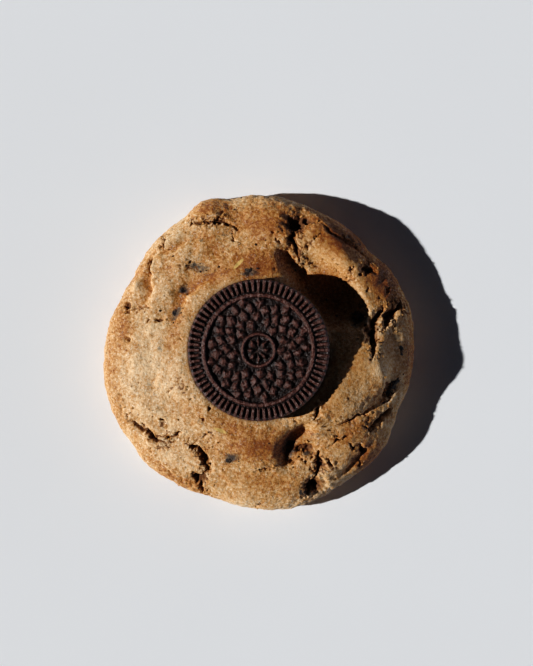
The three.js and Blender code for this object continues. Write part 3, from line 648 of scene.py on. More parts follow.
def split_near(points, triangles, near):
    """Halves the edges at the chosen points, so that the mesh is finer there."""
    mesh = bmesh.new()
    corners = [mesh.verts.new(point) for point in points]
    for triangle in triangles:
        mesh.faces.new([corners[i] for i in triangle])
    mesh.verts.index_update()
    edges = [e for e in mesh.edges if near[e.verts[0].index] or near[e.verts[1].index]]
    bmesh.ops.subdivide_edges(mesh, edges=edges, cuts=1)
    bmesh.ops.triangulate(mesh, faces=mesh.faces[:])
    mesh.verts.index_update()
    return plain_arrays(mesh)


def mesh_piece(name, points, triangles, attributes=None):
    """A piece from points in millimetres, with smooth faces and a number at each point for each attribute."""
    mesh = bpy.data.meshes.new(name)
    mesh.from_pydata((np.asarray(points) * MM).tolist(), [], np.asarray(triangles).tolist())
    mesh.polygons.foreach_set("use_smooth", np.ones(len(mesh.polygons), bool))
    for key, values in (attributes or {}).items():
        layer = mesh.attributes.new(key, "FLOAT", "POINT")
        layer.data.foreach_set("value", np.asarray(values, np.float32))
    mesh.update()
    return linked(name, mesh)


def linked(name, data):
    """A new object in the scene."""
    made = bpy.data.objects.new(name, data)
    bpy.context.scene.collection.objects.link(made)
    return made


def inside_box(points, node):
    """Points kept inside a CAD node's box."""
    low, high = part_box(node)
    return np.clip(points, np.array(low) / MM, np.array(high) / MM)


# The baked dough.


def even_shares(profile, step):
    """Places along a profile of points, a step apart, as shares of its parameter."""
    lengths = np.concatenate([[0], np.cumsum(np.linalg.norm(np.diff(profile, axis=0), axis=1))])
    count = max(2, round(lengths[-1] / step))
    return np.interp(np.linspace(0, lengths[-1], count + 1), lengths, np.linspace(0, 1, len(profile)))


def crust_ring(share):
    """A ring of the crust, at a share of the way from the pocket's edge to the outline."""
    size = POCKET_RADIUS + share * (BAKED_RADIUS - POCKET_RADIUS)
    angle = turns(round(2 * np.pi * size / CRUST_STEP))
    outer = share * outline_radius(np.degrees(angle))
    x = (1 - share) * (SANDWICH_X + POCKET_RADIUS * np.cos(angle)) + outer * np.cos(angle)
    y = (1 - share) * (SANDWICH_Y + POCKET_RADIUS * np.sin(angle)) + outer * np.sin(angle)
    return np.stack([x, y, crust_height(x, y)], axis=1)


def side_ring(tuck):
    """A ring of the rounded side below the widest part, at a tuck angle from 0 down to a right angle."""
    count = round(2 * np.pi * BAKED_RADIUS / SIDE_STEP)
    degrees = np.arange(count) * 360 / count
    radius = outline_radius(degrees) - FOOT_INSET * (1 - math.cos(tuck))
    height = WIDEST_AT * (1 + round_swells(degrees, FLANKS)) * (1 - math.sin(tuck))
    return ring_at(np.radians(degrees), radius, height)


def dough_rings():
    """The rings of the dough from the middle of the pocket's floor out, over and under to the base."""
    rings = []
    for radius in POCKET_RINGS:
        angle = turns(max(8, round(2 * np.pi * radius / POCKET_STEP)))
        rings.append(ring_at(angle, radius, POCKET_FLOOR, SANDWICH_X, SANDWICH_Y))
    lip = crust_ring(0)
    for share in np.linspace(0, 1, 7)[1:-1]:
        rings.append(np.column_stack([lip[:, :2], POCKET_FLOOR + share * (lip[:, 2] - POCKET_FLOOR)]))
    radius = POCKET_RADIUS + np.linspace(0, 1, 4000) * (BAKED_RADIUS - POCKET_RADIUS)
    height = WIDEST_AT + (DOME_TOP - WIDEST_AT) * dome_lift(radius / BAKED_RADIUS)
    profile = np.stack([radius, height], axis=1)
    rings += [crust_ring(share) for share in even_shares(profile, CRUST_STEP)]
    tuck = np.radians(np.linspace(0, 90, 400))
    side = np.stack([FOOT_INSET * (1 - np.cos(tuck)), WIDEST_AT * np.sin(tuck)], axis=1)
    rings += [side_ring(math.radians(90 * share)) for share in even_shares(side, SIDE_STEP)[1:]]
    for radius in BASE_RINGS:
        rings.append(ring_at(turns(max(8, round(2 * np.pi * radius / BASE_STEP))), radius, 0))
    return rings


def crust_weight(points):
    """1 on the crust that shows, fading to 0 in the pocket and towards the base."""
    distance, _ = from_sandwich(points[:, 0], points[:, 1])
    outside = smooth(distance, POCKET_RADIUS - 0.02, POCKET_RADIUS + 1.5)
    return outside * smooth(points[:, 2], *FOOT_FADE)


def baked_dough():
    """The dough with its cracks, holes, pits and grain pressed into its smooth form."""
    points, triangles = closed_skin(dough_rings(), (SANDWICH_X, SANDWICH_Y, POCKET_FLOOR))
    depth, _, torn = crust_cuts(points)
    near = (crust_weight(points) > 0.2) & ((depth > FINER_DEPTH) | (torn > FINER_TORN))
    points, triangles = split_near(points, triangles, near)

    x, y, height = points.T
    weight = crust_weight(points)
    depth, lips, torn = crust_cuts(points)
    torn = np.maximum(patches(x, y, TORN_PLACES), 0.7 * torn)
    torn = np.clip(torn * (1 + 0.7 * noise(points, 4, seed=51)), 0, 1)
    pits, hair = crust_pores(points, torn)
    rugged = 1 - patches(x, y, SMOOTH_PLACES)
    grain, small = crust_grain(points, torn, rugged)
    skin = skin_relief(*(points[:, i] + 0.8 * noise(points, 4, seed=33 + i) for i in (0, 1))) * (height > 2)
    cuts = depth * (1 + 0.16 * noise(points, 1.2, seed=53)) + pits + hair
    lift = 0.16 * lips + grain + skin - cuts - SKIN_INSET
    lift += smooth(depth, 0.4, 1.6) * waves(points, CUT_WAVES)
    distance, _ = from_sandwich(x, y)
    lift -= LIP_DROP * bell(distance - POCKET_RADIUS, LIP_REACH)

    side_grain = 0.16 * noise(points, 3, seed=56) - SKIN_INSET
    low_weight = (1 - smooth(height, *FOOT_FADE)) * (distance > POCKET_RADIUS + 1)
    shift = weight * lift + low_weight * side_grain
    shaped = points + vertex_normals(points, triangles) * shift[:, None]
    base_dents = 0.3 * np.clip(layered(points, 5, layers=3, seed=58), 0, 1) * (np.hypot(x, y) < 43)
    shaped[:, 2] = np.where(height < 0.01, base_dents, shaped[:, 2])

    # Browning; the patch in the hollow beside the sandwich is painted shade.
    bake_and_shade = patches(x, y, BROWNED_AND_SHADED_PLACES) - patches(x, y, PALE_PLACES) + 0.35
    # Marks the cracks, holes, pits and hair cracks, where the finish paints shade.
    deep = smooth(depth, 0.3, 1.5) + 0.8 * smooth(pits, 0.15, 0.5) + smooth(hair, 0.1, 0.3)
    # Higher in the hollows and creases of the grain and skin, lower on their rises: the finish paints shade
    # and light from it.
    low = np.clip(0.5 - (small + 0.45 * skin) / 0.8, -0.5, 1.5)
    attributes = {
        "bake_and_shade": np.clip(bake_and_shade, 0, 1),
        "torn": torn * weight,
        "deep": np.clip(deep, 0, 1),
        "stain_and_shade": patches(x, y, STAINED_AND_SHADED_PLACES) * weight,
        "rugged": rugged,
        "low": low * weight + 0.5 * (1 - weight),
        "butter": patches(x, y, BUTTER_STREAKS),
        # Marks where the dough meets the sandwich, for painted shade there.
        "pocket": bell(distance - POCKET_RADIUS, 0.8),
    }
    return mesh_piece("dough", inside_box(shaped, "baked_cookie"), triangles, attributes)


# Node trees.


class Wire:
    """A socket of a node tree. Arithmetic on it adds Math nodes, and node() adds any other node."""

    def __init__(self, tree, socket=None):
        self.tree = tree
        self.socket = socket

    def node(self, kind, inputs=None, output=0, stops=None, **settings):
        """Adds a node: its settings and ramp stops first, then a value or a wire for each socket."""
        made = self.tree.nodes.new(kind)
        for key, value in settings.items():
            setattr(made, key, value)
        for position, colour in stops or []:
            ends = made.color_ramp.elements
            stop = ends[0] if position == 0 else ends[-1] if position == 1 else ends.new(position)
            stop.color = (*colour, 1)
        for key, value in (inputs or {}).items():
            if isinstance(value, Wire):
                self.tree.links.new(value.socket, made.inputs[key])
            else:
                made.inputs[key].default_value = value
        return Wire(self.tree, made.outputs[output] if made.outputs else None)

    def math(self, operation, *others):
        return self.node("ShaderNodeMath", dict(enumerate((self, *others))), operation=operation)

    def vector(self, operation, *others, output=0):
        inputs = dict(enumerate((self, *others)))
        return self.node("ShaderNodeVectorMath", inputs, output, operation=operation)

    def scaled(self, factor):
        return self.node("ShaderNodeVectorMath", {0: self, "Scale": factor}, operation="SCALE")

    def __add__(self, other):
        return self.math("ADD", other)

    def __mul__(self, other):
        return self.math("MULTIPLY", other)

    def __sub__(self, other):
        return self.math("SUBTRACT", other)

    def __rsub__(self, other):
        return self.node("ShaderNodeMath", {0: other, 1: self}, operation="SUBTRACT")

    def __truediv__(self, other):
        return self.math("DIVIDE", other)

    __radd__ = __add__
    __rmul__ = __mul__

    def between(self, low, high):
        """0 below the low value, 1 above the high one, and smooth between them."""
        inputs = {"Value": self, "From Min": low, "From Max": high}
        return self.node("ShaderNodeMapRange", inputs, interpolation_type="SMOOTHSTEP")


def geometry_tree(name, numbers):
    """A Geometry Nodes tree with a geometry and named numbers going in, and a geometry coming out."""
    tree = bpy.data.node_groups.new(name, "GeometryNodeTree")
    tree.interface.new_socket("Geometry", in_out="INPUT", socket_type="NodeSocketGeometry")
    for key in numbers:
        tree.interface.new_socket(key, in_out="INPUT", socket_type="NodeSocketFloat")
    tree.interface.new_socket("Geometry", in_out="OUTPUT", socket_type="NodeSocketGeometry")
    entry = tree.nodes.new("NodeGroupInput")
    return {key: Wire(tree, entry.outputs[key]) for key in ["Geometry", *numbers]}


def end_tree(geometry, material):
    """Ends a tree in plain geometry with its material, and returns the tree."""
    realized = geometry.node("GeometryNodeRealizeInstances", {"Geometry": geometry})
    finished = realized.node("GeometryNodeSetMaterial", {"Geometry": realized, "Material": material})
    finished.node("NodeGroupOutput", {"Geometry": finished})
    return geometry.tree


def made_by_nodes(piece, tree, numbers):
    """The piece's mesh after the tree has worked on it, as a plain mesh."""
    modifier = piece.modifiers.new(tree.name, "NODES")
    modifier.node_group = tree
    for item in tree.interface.items_tree:
        if item.in_out == "INPUT" and item.name in numbers:
            modifier[item.identifier] = float(numbers[item.name])
    evaluated = piece.evaluated_get(bpy.context.evaluated_depsgraph_get())
    mesh = bpy.data.meshes.new_from_object(evaluated)
    piece.modifiers.remove(modifier)
    piece.data = mesh
    return piece


# The wafers and the cream.


def lathed(profile, counts, centre_height):
    """A closed turned surface: radius and height of each ring, and its number of points."""
    rings = [ring_at(turns(count), *place) for place, count in zip(profile, counts)]
    return closed_skin(rings, (0, 0, centre_height))


def wafer_blank(name):
    """A plain round wafer with its face up, ready to be embossed. Its underside is at height 0."""
    profile = [(radius, WAFER_THICK) for radius in np.arange(WAFER_STEP, FLUTE_OUTER, WAFER_STEP)]
    bevel = np.linspace(0, 1, BEVEL_RINGS) * np.pi / 2
    for out, drop in zip(np.sin(bevel), 1 - np.cos(bevel)):
        radius = FLUTE_OUTER + (SANDWICH_RADIUS - FLUTE_OUTER) * out
        profile.append((radius, WAFER_THICK - (WAFER_THICK - EDGE_RIDGE) * drop))
    edge = np.linspace(EDGE_RIDGE, EDGE_FOOT, EDGE_RINGS + 1)[1:]
    profile += [(SANDWICH_RADIUS, height) for height in edge]
    profile += [(SANDWICH_RADIUS - 0.12, 0.12), (SANDWICH_RADIUS - 0.4, 0)]
    profile += [(radius, 0) for radius in UNDERSIDE_RINGS]
    counts = []
    for radius, height in profile:
        plain = max(6, round(2 * np.pi * radius / WAFER_STEP))
        if height == 0:
            counts.append(max(6, round(plain / 4)))
        elif radius > LENGTHS["Flute Inner"] - 0.6:
            counts.append(COUNTS["Flutes"] * SAMPLES_PER_FLUTE)
        else:
            counts.append(plain)
    return mesh_piece(name, *lathed(profile, counts, WAFER_THICK))


def spots(count, radius, turn):
    """Points on the wafer's plane, from a radius and a turn that depend on each point's number."""
    inputs = {0: radius * turn.math("COSINE"), 1: radius * turn.math("SINE")}
    place = radius.node("ShaderNodeCombineXYZ", inputs)
    return radius.node("GeometryNodePoints", {"Count": count, "Position": place})


def mounds(points, place, long, wide):
    """The height of the nearest spot's mound at each place: a rounded diamond, long way outwards."""
    inputs = {0: points, "Sample Position": place}
    nearest = place.node("GeometryNodeProximity", inputs, target_element="POINTS")
    offset = place.vector("SUBTRACT", nearest)
    along = offset.vector("DOT_PRODUCT", nearest.vector("NORMALIZE"), output="Value")
    distance = offset.vector("LENGTH", output="Value")
    across = (distance * distance - along * along).math("MAXIMUM", 0).math("SQRT")
    reach = along.math("ABSOLUTE") / long + across / wide
    round_reach = ((along / long) * (along / long) + (across / wide) * (across / wide)).math("SQRT")
    return 1 - (0.4 * reach + 0.6 * round_reach).between(0.2, 1.15)


def emboss_tree(material):
    """Presses flutes, a ring, knobs and a medallion into a plain wafer's face and edge."""
    wires = geometry_tree("emboss", [*COUNTS, *LENGTHS])
    start = wires["Geometry"]
    position = start.node("GeometryNodeInputPosition")
    x, y, height = [position.node("ShaderNodeSeparateXYZ", {0: position}, i) for i in range(3)]
    radius = (x * x + y * y).math("SQRT")
    flat = start.node("ShaderNodeCombineXYZ", {0: x, 1: y})
    inputs = {"Vector": flat, "Scale": BENDS_PER_METRE, "Detail": 1.0}
    bend = start.node("ShaderNodeTexNoise", inputs, "Color")
    bend = bend.vector("SUBTRACT", (0.5, 0.5, 0.5)).scaled(wires["Bend"])
    plane = flat.vector("ADD", bend).vector("MULTIPLY", (1, 1, 0))

    index = start.node("GeometryNodeInputIndex")
    inner = wires["Knob Inner"] * wires["Knob Inner"]
    outer = wires["Knob Outer"] * wires["Knob Outer"]
    knob_radius = (inner + (index + 0.5) / wires["Knobs"] * (outer - inner)).math("SQRT")
    knob_points = spots(wires["Knobs"], knob_radius, index * math.radians(GOLDEN_TURN))
    knobs = mounds(knob_points, plane, wires["Knob Long"], wires["Knob Wide"])
    petal_points = spots(wires["Petals"], wires["Petal At"], index * math.tau / wires["Petals"])
    petals = mounds(petal_points, plane, wires["Petal Long"], wires["Petal Wide"])

    soft = EDGE_SOFTNESS * MM

    def beyond(edge):
        """0 inside a radius and 1 outside it."""
        return radius.between(edge - soft, edge + soft)

    groove = beyond(wires["Ring Outer"])
    rim = beyond(wires["Medallion Radius"] - wires["Medallion Rim"])
    rim = rim - rim * beyond(wires["Medallion Radius"])
    raised = beyond(wires["Ring Inner"])
    for form in (knobs, petals, rim):
        raised = raised.math("MAXIMUM", form)

    band = radius.between(wires["Flute Inner"] - 0.5 * soft, wires["Flute Inner"] + 1.2 * soft)
    valley = 1 - (y.math("ARCTAN2", x) * wires["Flutes"]).math("COSINE").between(-0.8, 0.3)
    outermost = radius.between(wires["Radius"] - 1.8 * MM, wires["Radius"] - 0.5 * MM)
    shallow = 1 - VALLEY_RISE * outermost
    ledge = LEDGE_SHARE * groove * (1 - band)
    face = height.between(0.5 * wires["Thickness"], 0.7 * wires["Thickness"])
    drop = wires["Face Depth"] * (1 - raised) + wires["Flute Depth"] * (valley * band * shallow + ledge)
    inward = wires["Valley Inset"] * valley * radius.between(wires["Flute Inner"], wires["Radius"])
    standing = height.between(0.1 * wires["Thickness"], 0.35 * wires["Thickness"])

    inputs = {"Vector": position, "Scale": GRAINS_PER_METRE, "Detail": 3.0}
    coarse = start.node("ShaderNodeTexNoise", inputs)
    grain = (coarse - 0.5) * 2 * wires["Ragged"] * (1 + 1.2 * (1 - band))
    shrink = 1 - (inward * standing + 0.5 * grain) / (radius + MM)
    level = height - (drop + WAFER_GRAIN_ROOM * MM) * face + grain * face
    moved = start.node("ShaderNodeCombineXYZ", {0: x * shrink, 1: y * shrink, 2: level})
    shaped = start.node("GeometryNodeSetPosition", {"Geometry": start, "Position": moved})
    # Lighter on the raised tops and flute crests and dark in the recesses and valleys: painted light and
    # shade, kept in the raised attribute.
    lit_tops_shaded_hollows = raised * (1 - band) * (1 - groove) + 0.95 * band * (1 - valley)
    inputs = {"Geometry": shaped, "Name": "raised", "Value": lit_tops_shaded_hollows * face}
    stored = start.node("GeometryNodeStoreNamedAttribute", inputs, data_type="FLOAT", domain="POINT")
    return end_tree(stored, material)


def wafer(name, node, material, face_up):
    """An embossed wafer in the place of its CAD node."""
    numbers = {**COUNTS, **{key: length * MM for key, length in LENGTHS.items()}}
    if not face_up:
        numbers.update({"Face Depth": 0, "Knobs": 1})
    piece = made_by_nodes(wafer_blank(name), emboss_tree(material), numbers)
    low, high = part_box(node)
    level = low.z if face_up else high.z
    place = Matrix.Translation((SANDWICH_X * MM, SANDWICH_Y * MM, level))
    piece.data.transform(place @ Matrix.Rotation(0 if face_up else math.pi, 4, "X"))
    for vertex in piece.data.vertices:
        vertex.co.z = min(max(vertex.co.z, low.z), high.z)
    return piece


def cream():
    """The cream's squeezed edge, uneven and a little inside the wafers."""
    half = CREAM_THICK / 2
    edge = np.radians(np.linspace(-90, 90, CREAM_EDGE_RINGS))
    profile = [(radius, -half) for radius in CREAM_RINGS]
    profile += [(CREAM_RADIUS - CREAM_BULGE + CREAM_BULGE * math.cos(a), half * math.sin(a)) for a in edge]
    profile += [(radius, half) for radius in reversed(CREAM_RINGS)]
    counts = [*CREAM_RINGS.values(), *[CREAM_EDGE_POINTS] * len(edge), *reversed(CREAM_RINGS.values())]
    points, triangles = lathed(profile, counts, -half)
    radius = np.hypot(points[:, 0], points[:, 1])
    at_edge = smooth(radius, CREAM_RADIUS - 1.2, CREAM_RADIUS - 0.2)
    push = 0.3 * noise(points * (1, 1, 0.4), 7, seed=61) + 0.14 * noise(points, 1.6, seed=62) - 0.28
    points[:, :2] *= 1 + (at_edge * push / np.maximum(radius, 1))[:, None]
    points += (SANDWICH_X, SANDWICH_Y, SANDWICH_BASE + WAFER_THICK + half)
    return mesh_piece("cream", inside_box(points, "cream_filling"), triangles[:, ::-1])


# The broken biscuit pieces and the crumbs.


def shard(name, node, seed):
    """A broken piece of biscuit: a round lump cut by flat breaks, with a crumbly surface."""
    x, y, long, wide, thick, turn, proud = BISCUIT_PIECES[node]
    ball = bmesh.new()
    bmesh.ops.create_icosphere(ball, subdivisions=6, radius=1)
    points, triangles = plain_arrays(ball)
    draw = np.random.default_rng(seed)
    breaks = draw.normal(size=(SHARD_BREAKS, 3)) * (1, 1, 0.7)
    breaks /= np.linalg.norm(breaks, axis=1, keepdims=True)
    facing = points @ breaks.T
    limit = draw.uniform(*BREAK_FROM_TO, size=SHARD_BREAKS)
    reach = np.where(facing > BREAK_FACING, limit / np.maximum(facing, BREAK_FACING), 1).min(axis=1)
    points = points * np.minimum(1, reach)[:, None] * (long, wide, thick)
    first, after, _ = cells(points, 0.9, seed)
    rough = waves(points, [(0.14, 1.1, seed), (0.07, 0.5, seed + 1)])
    rough += 0.12 * (smooth(after - first, 0, 0.4) - 1)
    points += points / np.linalg.norm(points, axis=1, keepdims=True) * rough[:, None]
    cos, sin = math.cos(math.radians(turn)), math.sin(math.radians(turn))
    points = points @ np.array([[cos, sin, 0], [-sin, cos, 0], [0, 0, 1]])
    top = crust_height(np.array([float(x)]), np.array([float(y)]))[0]
    points += (x, y, top + proud - thick)
    return mesh_piece(name, inside_box(points, node), triangles)


def crumb_tree(material, mask):
    """Scatters crumbs over a surface, as many as the mask and the density ask, sunk a little into it."""
    wires = geometry_tree(f"{mask}_crumbs", ["Density", "Smallest", "Largest", "Seed"])
    start = wires["Geometry"]
    weight = start.node("GeometryNodeInputNamedAttribute", {"Name": mask}, data_type="FLOAT")
    inputs = {"Mesh": start, "Density": weight * wires["Density"], "Seed": wires["Seed"]}
    scattered = start.node("GeometryNodeDistributePointsOnFaces", inputs, "Points")
    uneven = start.node("ShaderNodeTexNoise", {"Scale": 2.4, "Detail": 1.0}, "Color")
    bent = uneven.vector("SUBTRACT", (0.5, 0.5, 0.5)).vector("MULTIPLY", (0.9, 0.9, 0.9))
    ball = start.node("GeometryNodeMeshIcoSphere", {"Radius": 0.5, "Subdivisions": 2})
    crumb = start.node("GeometryNodeSetPosition", {"Geometry": ball, "Offset": bent})
    sizes = {2: wires["Smallest"], 3: wires["Largest"], "Seed": 3}
    size = start.node("FunctionNodeRandomValue", sizes, 1, data_type="FLOAT")
    stretch, turn = [
        start.node("FunctionNodeRandomValue", {0: low, 1: high, "Seed": seed}, data_type="FLOAT_VECTOR")
        for low, high, seed in (((0.7, 0.7, 0.5), (1.3, 1.1, 0.9), 4), ((0, 0, 0), [math.tau] * 3, 5))
    ]
    inputs = {"Points": scattered, "Instance": crumb, "Rotation": turn, "Scale": stretch.scaled(size)}
    return end_tree(start.node("GeometryNodeInstanceOnPoints", inputs), material)


def crumbs(name, surface, material, mask, density, smallest, largest, seed):
    """Loose crumbs on a surface."""
    numbers = {"Density": density, "Smallest": smallest * MM, "Largest": largest * MM, "Seed": seed}
    return made_by_nodes(linked(name, surface.data.copy()), crumb_tree(material, mask), numbers)


# Finishes.


def new_finish(name):
    """A new material, and the place in millimetres that its patterns are drawn from."""
    material = bpy.data.materials.new(name)
    material.use_nodes = True
    place = Wire(material.node_tree).node("ShaderNodeTexCoord", output="Object")
    return material, place.scaled(1 / MM)


def feed(shader, socket, wire):
    wire.tree.links.new(wire.socket, shader.inputs[socket])


def finish(material, colour, roughness, height, strength, distance, constants):
    """Feeds a material's shader, with bumps as deep as a distance in millimetres, and returns it."""
    shader = material.node_tree.nodes["Principled BSDF"]
    bump = {"Height": height, "Strength": strength, "Distance": distance * MM}
    feed(shader, "Base Color", colour)
    feed(shader, "Roughness", roughness)
    feed(shader, "Normal", height.node("ShaderNodeBump", bump))
    for socket, value in constants.items():
        shader.inputs[socket].default_value = value
    return material


def speckle(place, size, detail=2.0, roughness=0.5):
    """Noise from 0 to 1 with patches of about a size in millimetres."""
    inputs = {"Vector": place, "Scale": 1 / size, "Detail": detail, "Roughness": roughness}
    return place.node("ShaderNodeTexNoise", inputs)


def coated(colour, *coats):
    """A colour under coats of others: the share that each covers, and its colour."""
    for share, coat in coats:
        first, second = (c if isinstance(c, Wire) else (*c, 1) for c in (colour, coat))
        colour = share.node("ShaderNodeMix", {0: share, 6: first, 7: second}, 2, data_type="RGBA")
    return colour


def painted(place, *names):
    """The numbers that the mesh holds at each point."""
    return [place.node("ShaderNodeAttribute", output="Fac", attribute_name=name) for name in names]


def dough_finish():
    material, place = new_finish("baked_dough")
    bake_and_shade, torn, deep, stain_and_shade = painted(place, "bake_and_shade", "torn", "deep", "stain_and_shade")
    pocket, rugged, butter, low = painted(place, "pocket", "rugged", "butter", "low")
    clouds = speckle(place, 8, 3.0)
    blotches = speckle(place, 3.2, 3.0, 0.6)
    grain = speckle(place, 1, 3.0, 0.75)
    fine = speckle(place, 0.7, 2.0, 0.7)
    # The low attribute makes the tone darker in hollows and creases and paler on rises: painted shade and
    # light.
    tone = bake_and_shade + (clouds - 0.5) * 0.4 + (blotches - 0.5) * 0.3 + (low - 0.5) * 0.35
    tone = tone + (grain - 0.5) * (1.2 + 0.9 * rugged)
    stops = [
        (0, (0.84, 0.64, 0.4)), (0.25, (0.74, 0.5, 0.265)), (0.5, (0.64, 0.355, 0.13)),
        (0.75, (0.49, 0.205, 0.05)), (1, (0.31, 0.1, 0.022)),
    ]
    # Torn dough goes darker where it lies low: painted shade.
    torn_depth = (low + (grain - 0.5) * 1.8 + (bake_and_shade - 0.4) * 0.6).between(0.3, 0.8)
    torn_colour = coated(
        (0.64, 0.5, 0.32), (bake_and_shade.between(0.4, 0.8), (0.64, 0.41, 0.17)), (torn_depth, (0.42, 0.18, 0.045))
    )
    # Dark smears of cocoa stain, and the patches of painted shade in the fold and the hollow.
    smear_and_shade = (stain_and_shade + (speckle(place, 1.8, 4.0, 0.7) - 0.5) * 1.8).between(0.25, 1)
    colour = coated(
        tone.node("ShaderNodeValToRGB", {"Fac": tone}, stops=stops),
        ((torn * (0.55 + blotches * 0.7)).between(0.3, 1) * 0.8, torn_colour),
        # Pale flecks: the dough's pale grains, whitened into painted glints.
        (fine.between(0.56, 0.68) * (0.1 + 0.6 * rugged) * (1.3 - bake_and_shade), (0.93, 0.82, 0.66)),
        ((1 - fine.between(0.3, 0.44)) * 0.4, (0.33, 0.13, 0.035)),
        (speckle(place, 1.3, 1.0).between(0.7, 0.76) * 0.6, (0.22, 0.09, 0.025)),
        ((butter + (blotches - 0.5) * 0.8).between(0.3, 0.6), (0.74, 0.52, 0.18)),
        (smear_and_shade * 0.9, (0.055, 0.05, 0.048)),
        # Painted shade in the cracks, holes and pits: brown on their walls and near black at their bottoms.
        (deep.between(0.05, 0.4) * 0.75, (0.34, 0.135, 0.036)),
        (deep.between(0.4, 0.95) * 0.8, (0.12, 0.045, 0.014)),
        # Painted shade where the dough meets the sandwich.
        (pocket * 0.6, (0.2, 0.085, 0.025)),
    )
    gloss = speckle(place, 6).between(0.42, 0.6) * speckle(place, 0.9, 2.0, 0.7).between(0.53, 0.62)
    height = grain * (0.25 + 0.75 * rugged) + blotches * 0.2 + fine * (0.2 + 0.5 * rugged)
    return finish(material, colour, 0.7 + torn * 0.1 - gloss * 0.5, height, 0.8, 0.6, MATT)


def wafer_finish():
    material, place = new_finish("chocolate_wafer")
    [raised] = painted(place, "raised")
    grain = speckle(place, 0.5, 3.0, 0.65)
    colour = coated(
        # Nearly black in the recesses and valleys and lighter on the raised tops and crests: painted shade
        # and light.
        (0.011, 0.0045, 0.0035),
        ((raised * 0.8 + (grain - 0.5) * 2.4).between(-0.05, 1.05), (0.128, 0.054, 0.04)),
        (speckle(place, 3.5).between(0.45, 0.75) * 0.4, (0.068, 0.031, 0.022)),
        # Sparse pale grey flecks: cocoa dust, and painted glints.
        (speckle(place, 0.25, 1.0).between(0.66, 0.74) * 0.5, (0.27, 0.19, 0.15)),
    )
    roughness = 0.42 + (speckle(place, 0.8) - 0.5) * 0.5
    height = grain * 0.8 + speckle(place, 1.1) * 1.5 + speckle(place, 0.2, 1.0) * 0.2
    return finish(material, colour, roughness, height, 0.9, 0.4, {"Specular IOR Level": 0.5})


def cream_finish():
    material, place = new_finish("cream")
    clouds = speckle(place, 2.5, 3.0)
    grain = speckle(place, 0.35)
    flecks = speckle(place, 0.3, 0.0).between(0.7, 0.74)
    colour = coated((0.78, 0.7, 0.55), (clouds, (0.9, 0.86, 0.76)), (flecks * 0.8, (0.09, 0.06, 0.045)))
    return finish(material, colour, 0.5 + grain * 0.2, grain + clouds, 0.5, 0.2, {})


def biscuit_finish():
    material, place = new_finish("biscuit_pieces")
    grain = speckle(place, 0.45, 3.0, 0.7)
    colour = coated(
        (0.03, 0.025, 0.024),
        (speckle(place, 1.8).between(0.35, 0.7), (0.08, 0.066, 0.058)),
        (grain.between(0.56, 0.7) * 0.7, (0.24, 0.15, 0.085)),
        (speckle(place, 1.4, 3.0, 0.65).between(0.5, 0.62) * 0.75, (0.36, 0.19, 0.08)),
    )
    constants = {**MATT, "Specular IOR Level": 0.3}
    return finish(material, colour, 0.62 + (grain - 0.5) * 0.3, grain, 0.8, 0.3, constants)


def crumb_finish():
    material, place = new_finish("dough_crumbs")
    tone = speckle(place, 1.2)
    stops = [(0, (0.36, 0.15, 0.04)), (0.5, (0.58, 0.32, 0.11)), (1, (0.7, 0.46, 0.21))]
    colour = tone.node("ShaderNodeValToRGB", {"Fac": tone}, stops=stops)
    return finish(material, colour, 0.6 + tone * 0.2, speckle(place, 0.3), 0.6, 0.2, MATT)


# The floor, the light and the camera.


def floor():
    half = FLOOR_SIZE / 2
    corners = [(-half, -half, 0), (half, -half, 0), (half, half, 0), (-half, half, 0)]
    piece = mesh_piece("floor", corners, [(0, 1, 2, 3)])
    material, place = new_finish("pale_floor")
    shader = material.node_tree.nodes["Principled BSDF"]
    colour = coated((0.81, 0.82, 0.83), (speckle(place, 60), (0.83, 0.84, 0.85)))
    feed(shader, "Base Color", colour)
    shader.inputs["Roughness"].default_value = 0.85
    piece.data.materials.append(material)


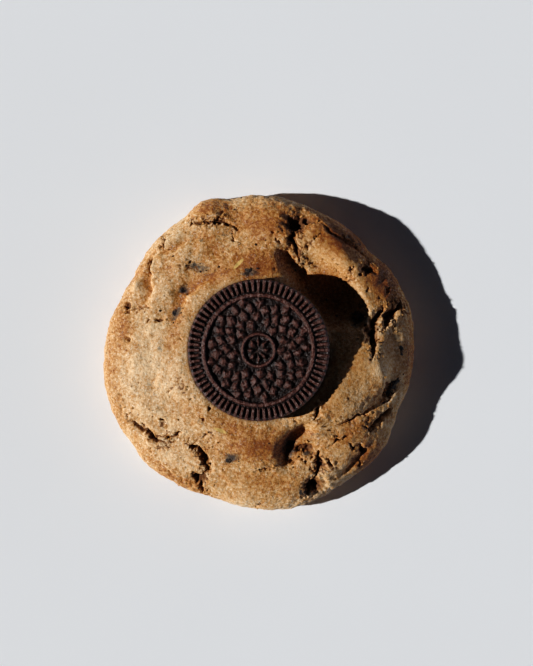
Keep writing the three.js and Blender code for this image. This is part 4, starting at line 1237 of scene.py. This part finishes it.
def light():
    sun = bpy.data.lights.new("key", "SUN")
    sun.energy = SUN_STRENGTH
    sun.angle = math.radians(SUN_SOFTNESS)
    sun.color = SUN_COLOUR
    linked("key", sun).rotation_euler = (0, math.radians(SUN_ELEVATION - 90), math.radians(SUN_AZIMUTH))
    world = bpy.data.worlds.new("fill")
    world.use_nodes = True
    background = world.node_tree.nodes["Background"]
    background.inputs["Color"].default_value = FILL_COLOUR
    outwards = Wire(world.node_tree).node("ShaderNodeTexCoord", output="Generated")
    rightwards, height = [outwards.node("ShaderNodeSeparateXYZ", {0: outwards}, key) for key in "XZ"]
    low_fill = FILL_LOW * (1 + FILL_RIGHT * rightwards.between(*RIGHT_FROM_TO))
    overhead = height.between(*OVERHEAD_FROM_TO)
    feed(background, "Strength", low_fill + (FILL_OVERHEAD - low_fill) * overhead)
    bpy.context.scene.world = world


def picture_response():
    """A contrasty picture: the dark tones drop and the pale ones stay."""
    view = bpy.context.scene.view_settings
    view.view_transform = "Standard"
    view.use_curve_mapping = True
    curve = view.curve_mapping.curves[3]
    for tone in CURVE_TONES:
        curve.points.new(tone, tone * tone * (1 + SHADOW_DROP) / (tone + SHADOW_DROP))
    view.curve_mapping.update()


def camera():
    data = bpy.data.cameras.new("camera")
    data.sensor_fit = "VERTICAL"
    data.sensor_width = data.sensor_height = SENSOR
    data.lens = FOCAL_PIXELS * SENSOR / PICTURE_HEIGHT
    data.clip_start = NEAREST_SEEN * MM
    data.clip_end = FARTHEST_SEEN * MM
    holder = linked("camera", data)
    holder.location = Vector(CAMERA_PLACE) * MM
    bpy.context.scene.camera = holder


def dress(piece, slot, *nodes):
    """The piece rides on the body, has its slot's finish and stands for its CAD nodes."""
    if not piece.data.materials:
        piece.data.materials.append(FINISHES[slot])
    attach(piece, "root")
    if nodes:
        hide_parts(*nodes)


camera()
light()
picture_response()
floor()

FINISHES = {
    "baked_dough": dough_finish(),
    "chocolate_wafer": wafer_finish(),
    "cream": cream_finish(),
    "biscuit_pieces": biscuit_finish(),
}

dough = baked_dough()
dress(dough, "baked_dough", "baked_cookie")
for name, node, face_up in (("upper_wafer", "top_wafer", True), ("lower_wafer", "bottom_wafer", False)):
    dress(wafer(name, node, FINISHES["chocolate_wafer"], face_up), "chocolate_wafer", node)
dress(cream(), "cream", "cream_filling")
for number, node in enumerate(BISCUIT_PIECES):
    piece = shard(node.replace("piece", "shard"), node, FIRST_SHARD_SEED + number)
    dress(piece, "biscuit_pieces", node)
dress(crumbs("dough_crumbs", dough, crumb_finish(), *DOUGH_CRUMBS), "baked_dough")
dress(crumbs("cocoa_crumbs", dough, FINISHES["biscuit_pieces"], *COCOA_CRUMBS), "biscuit_pieces")
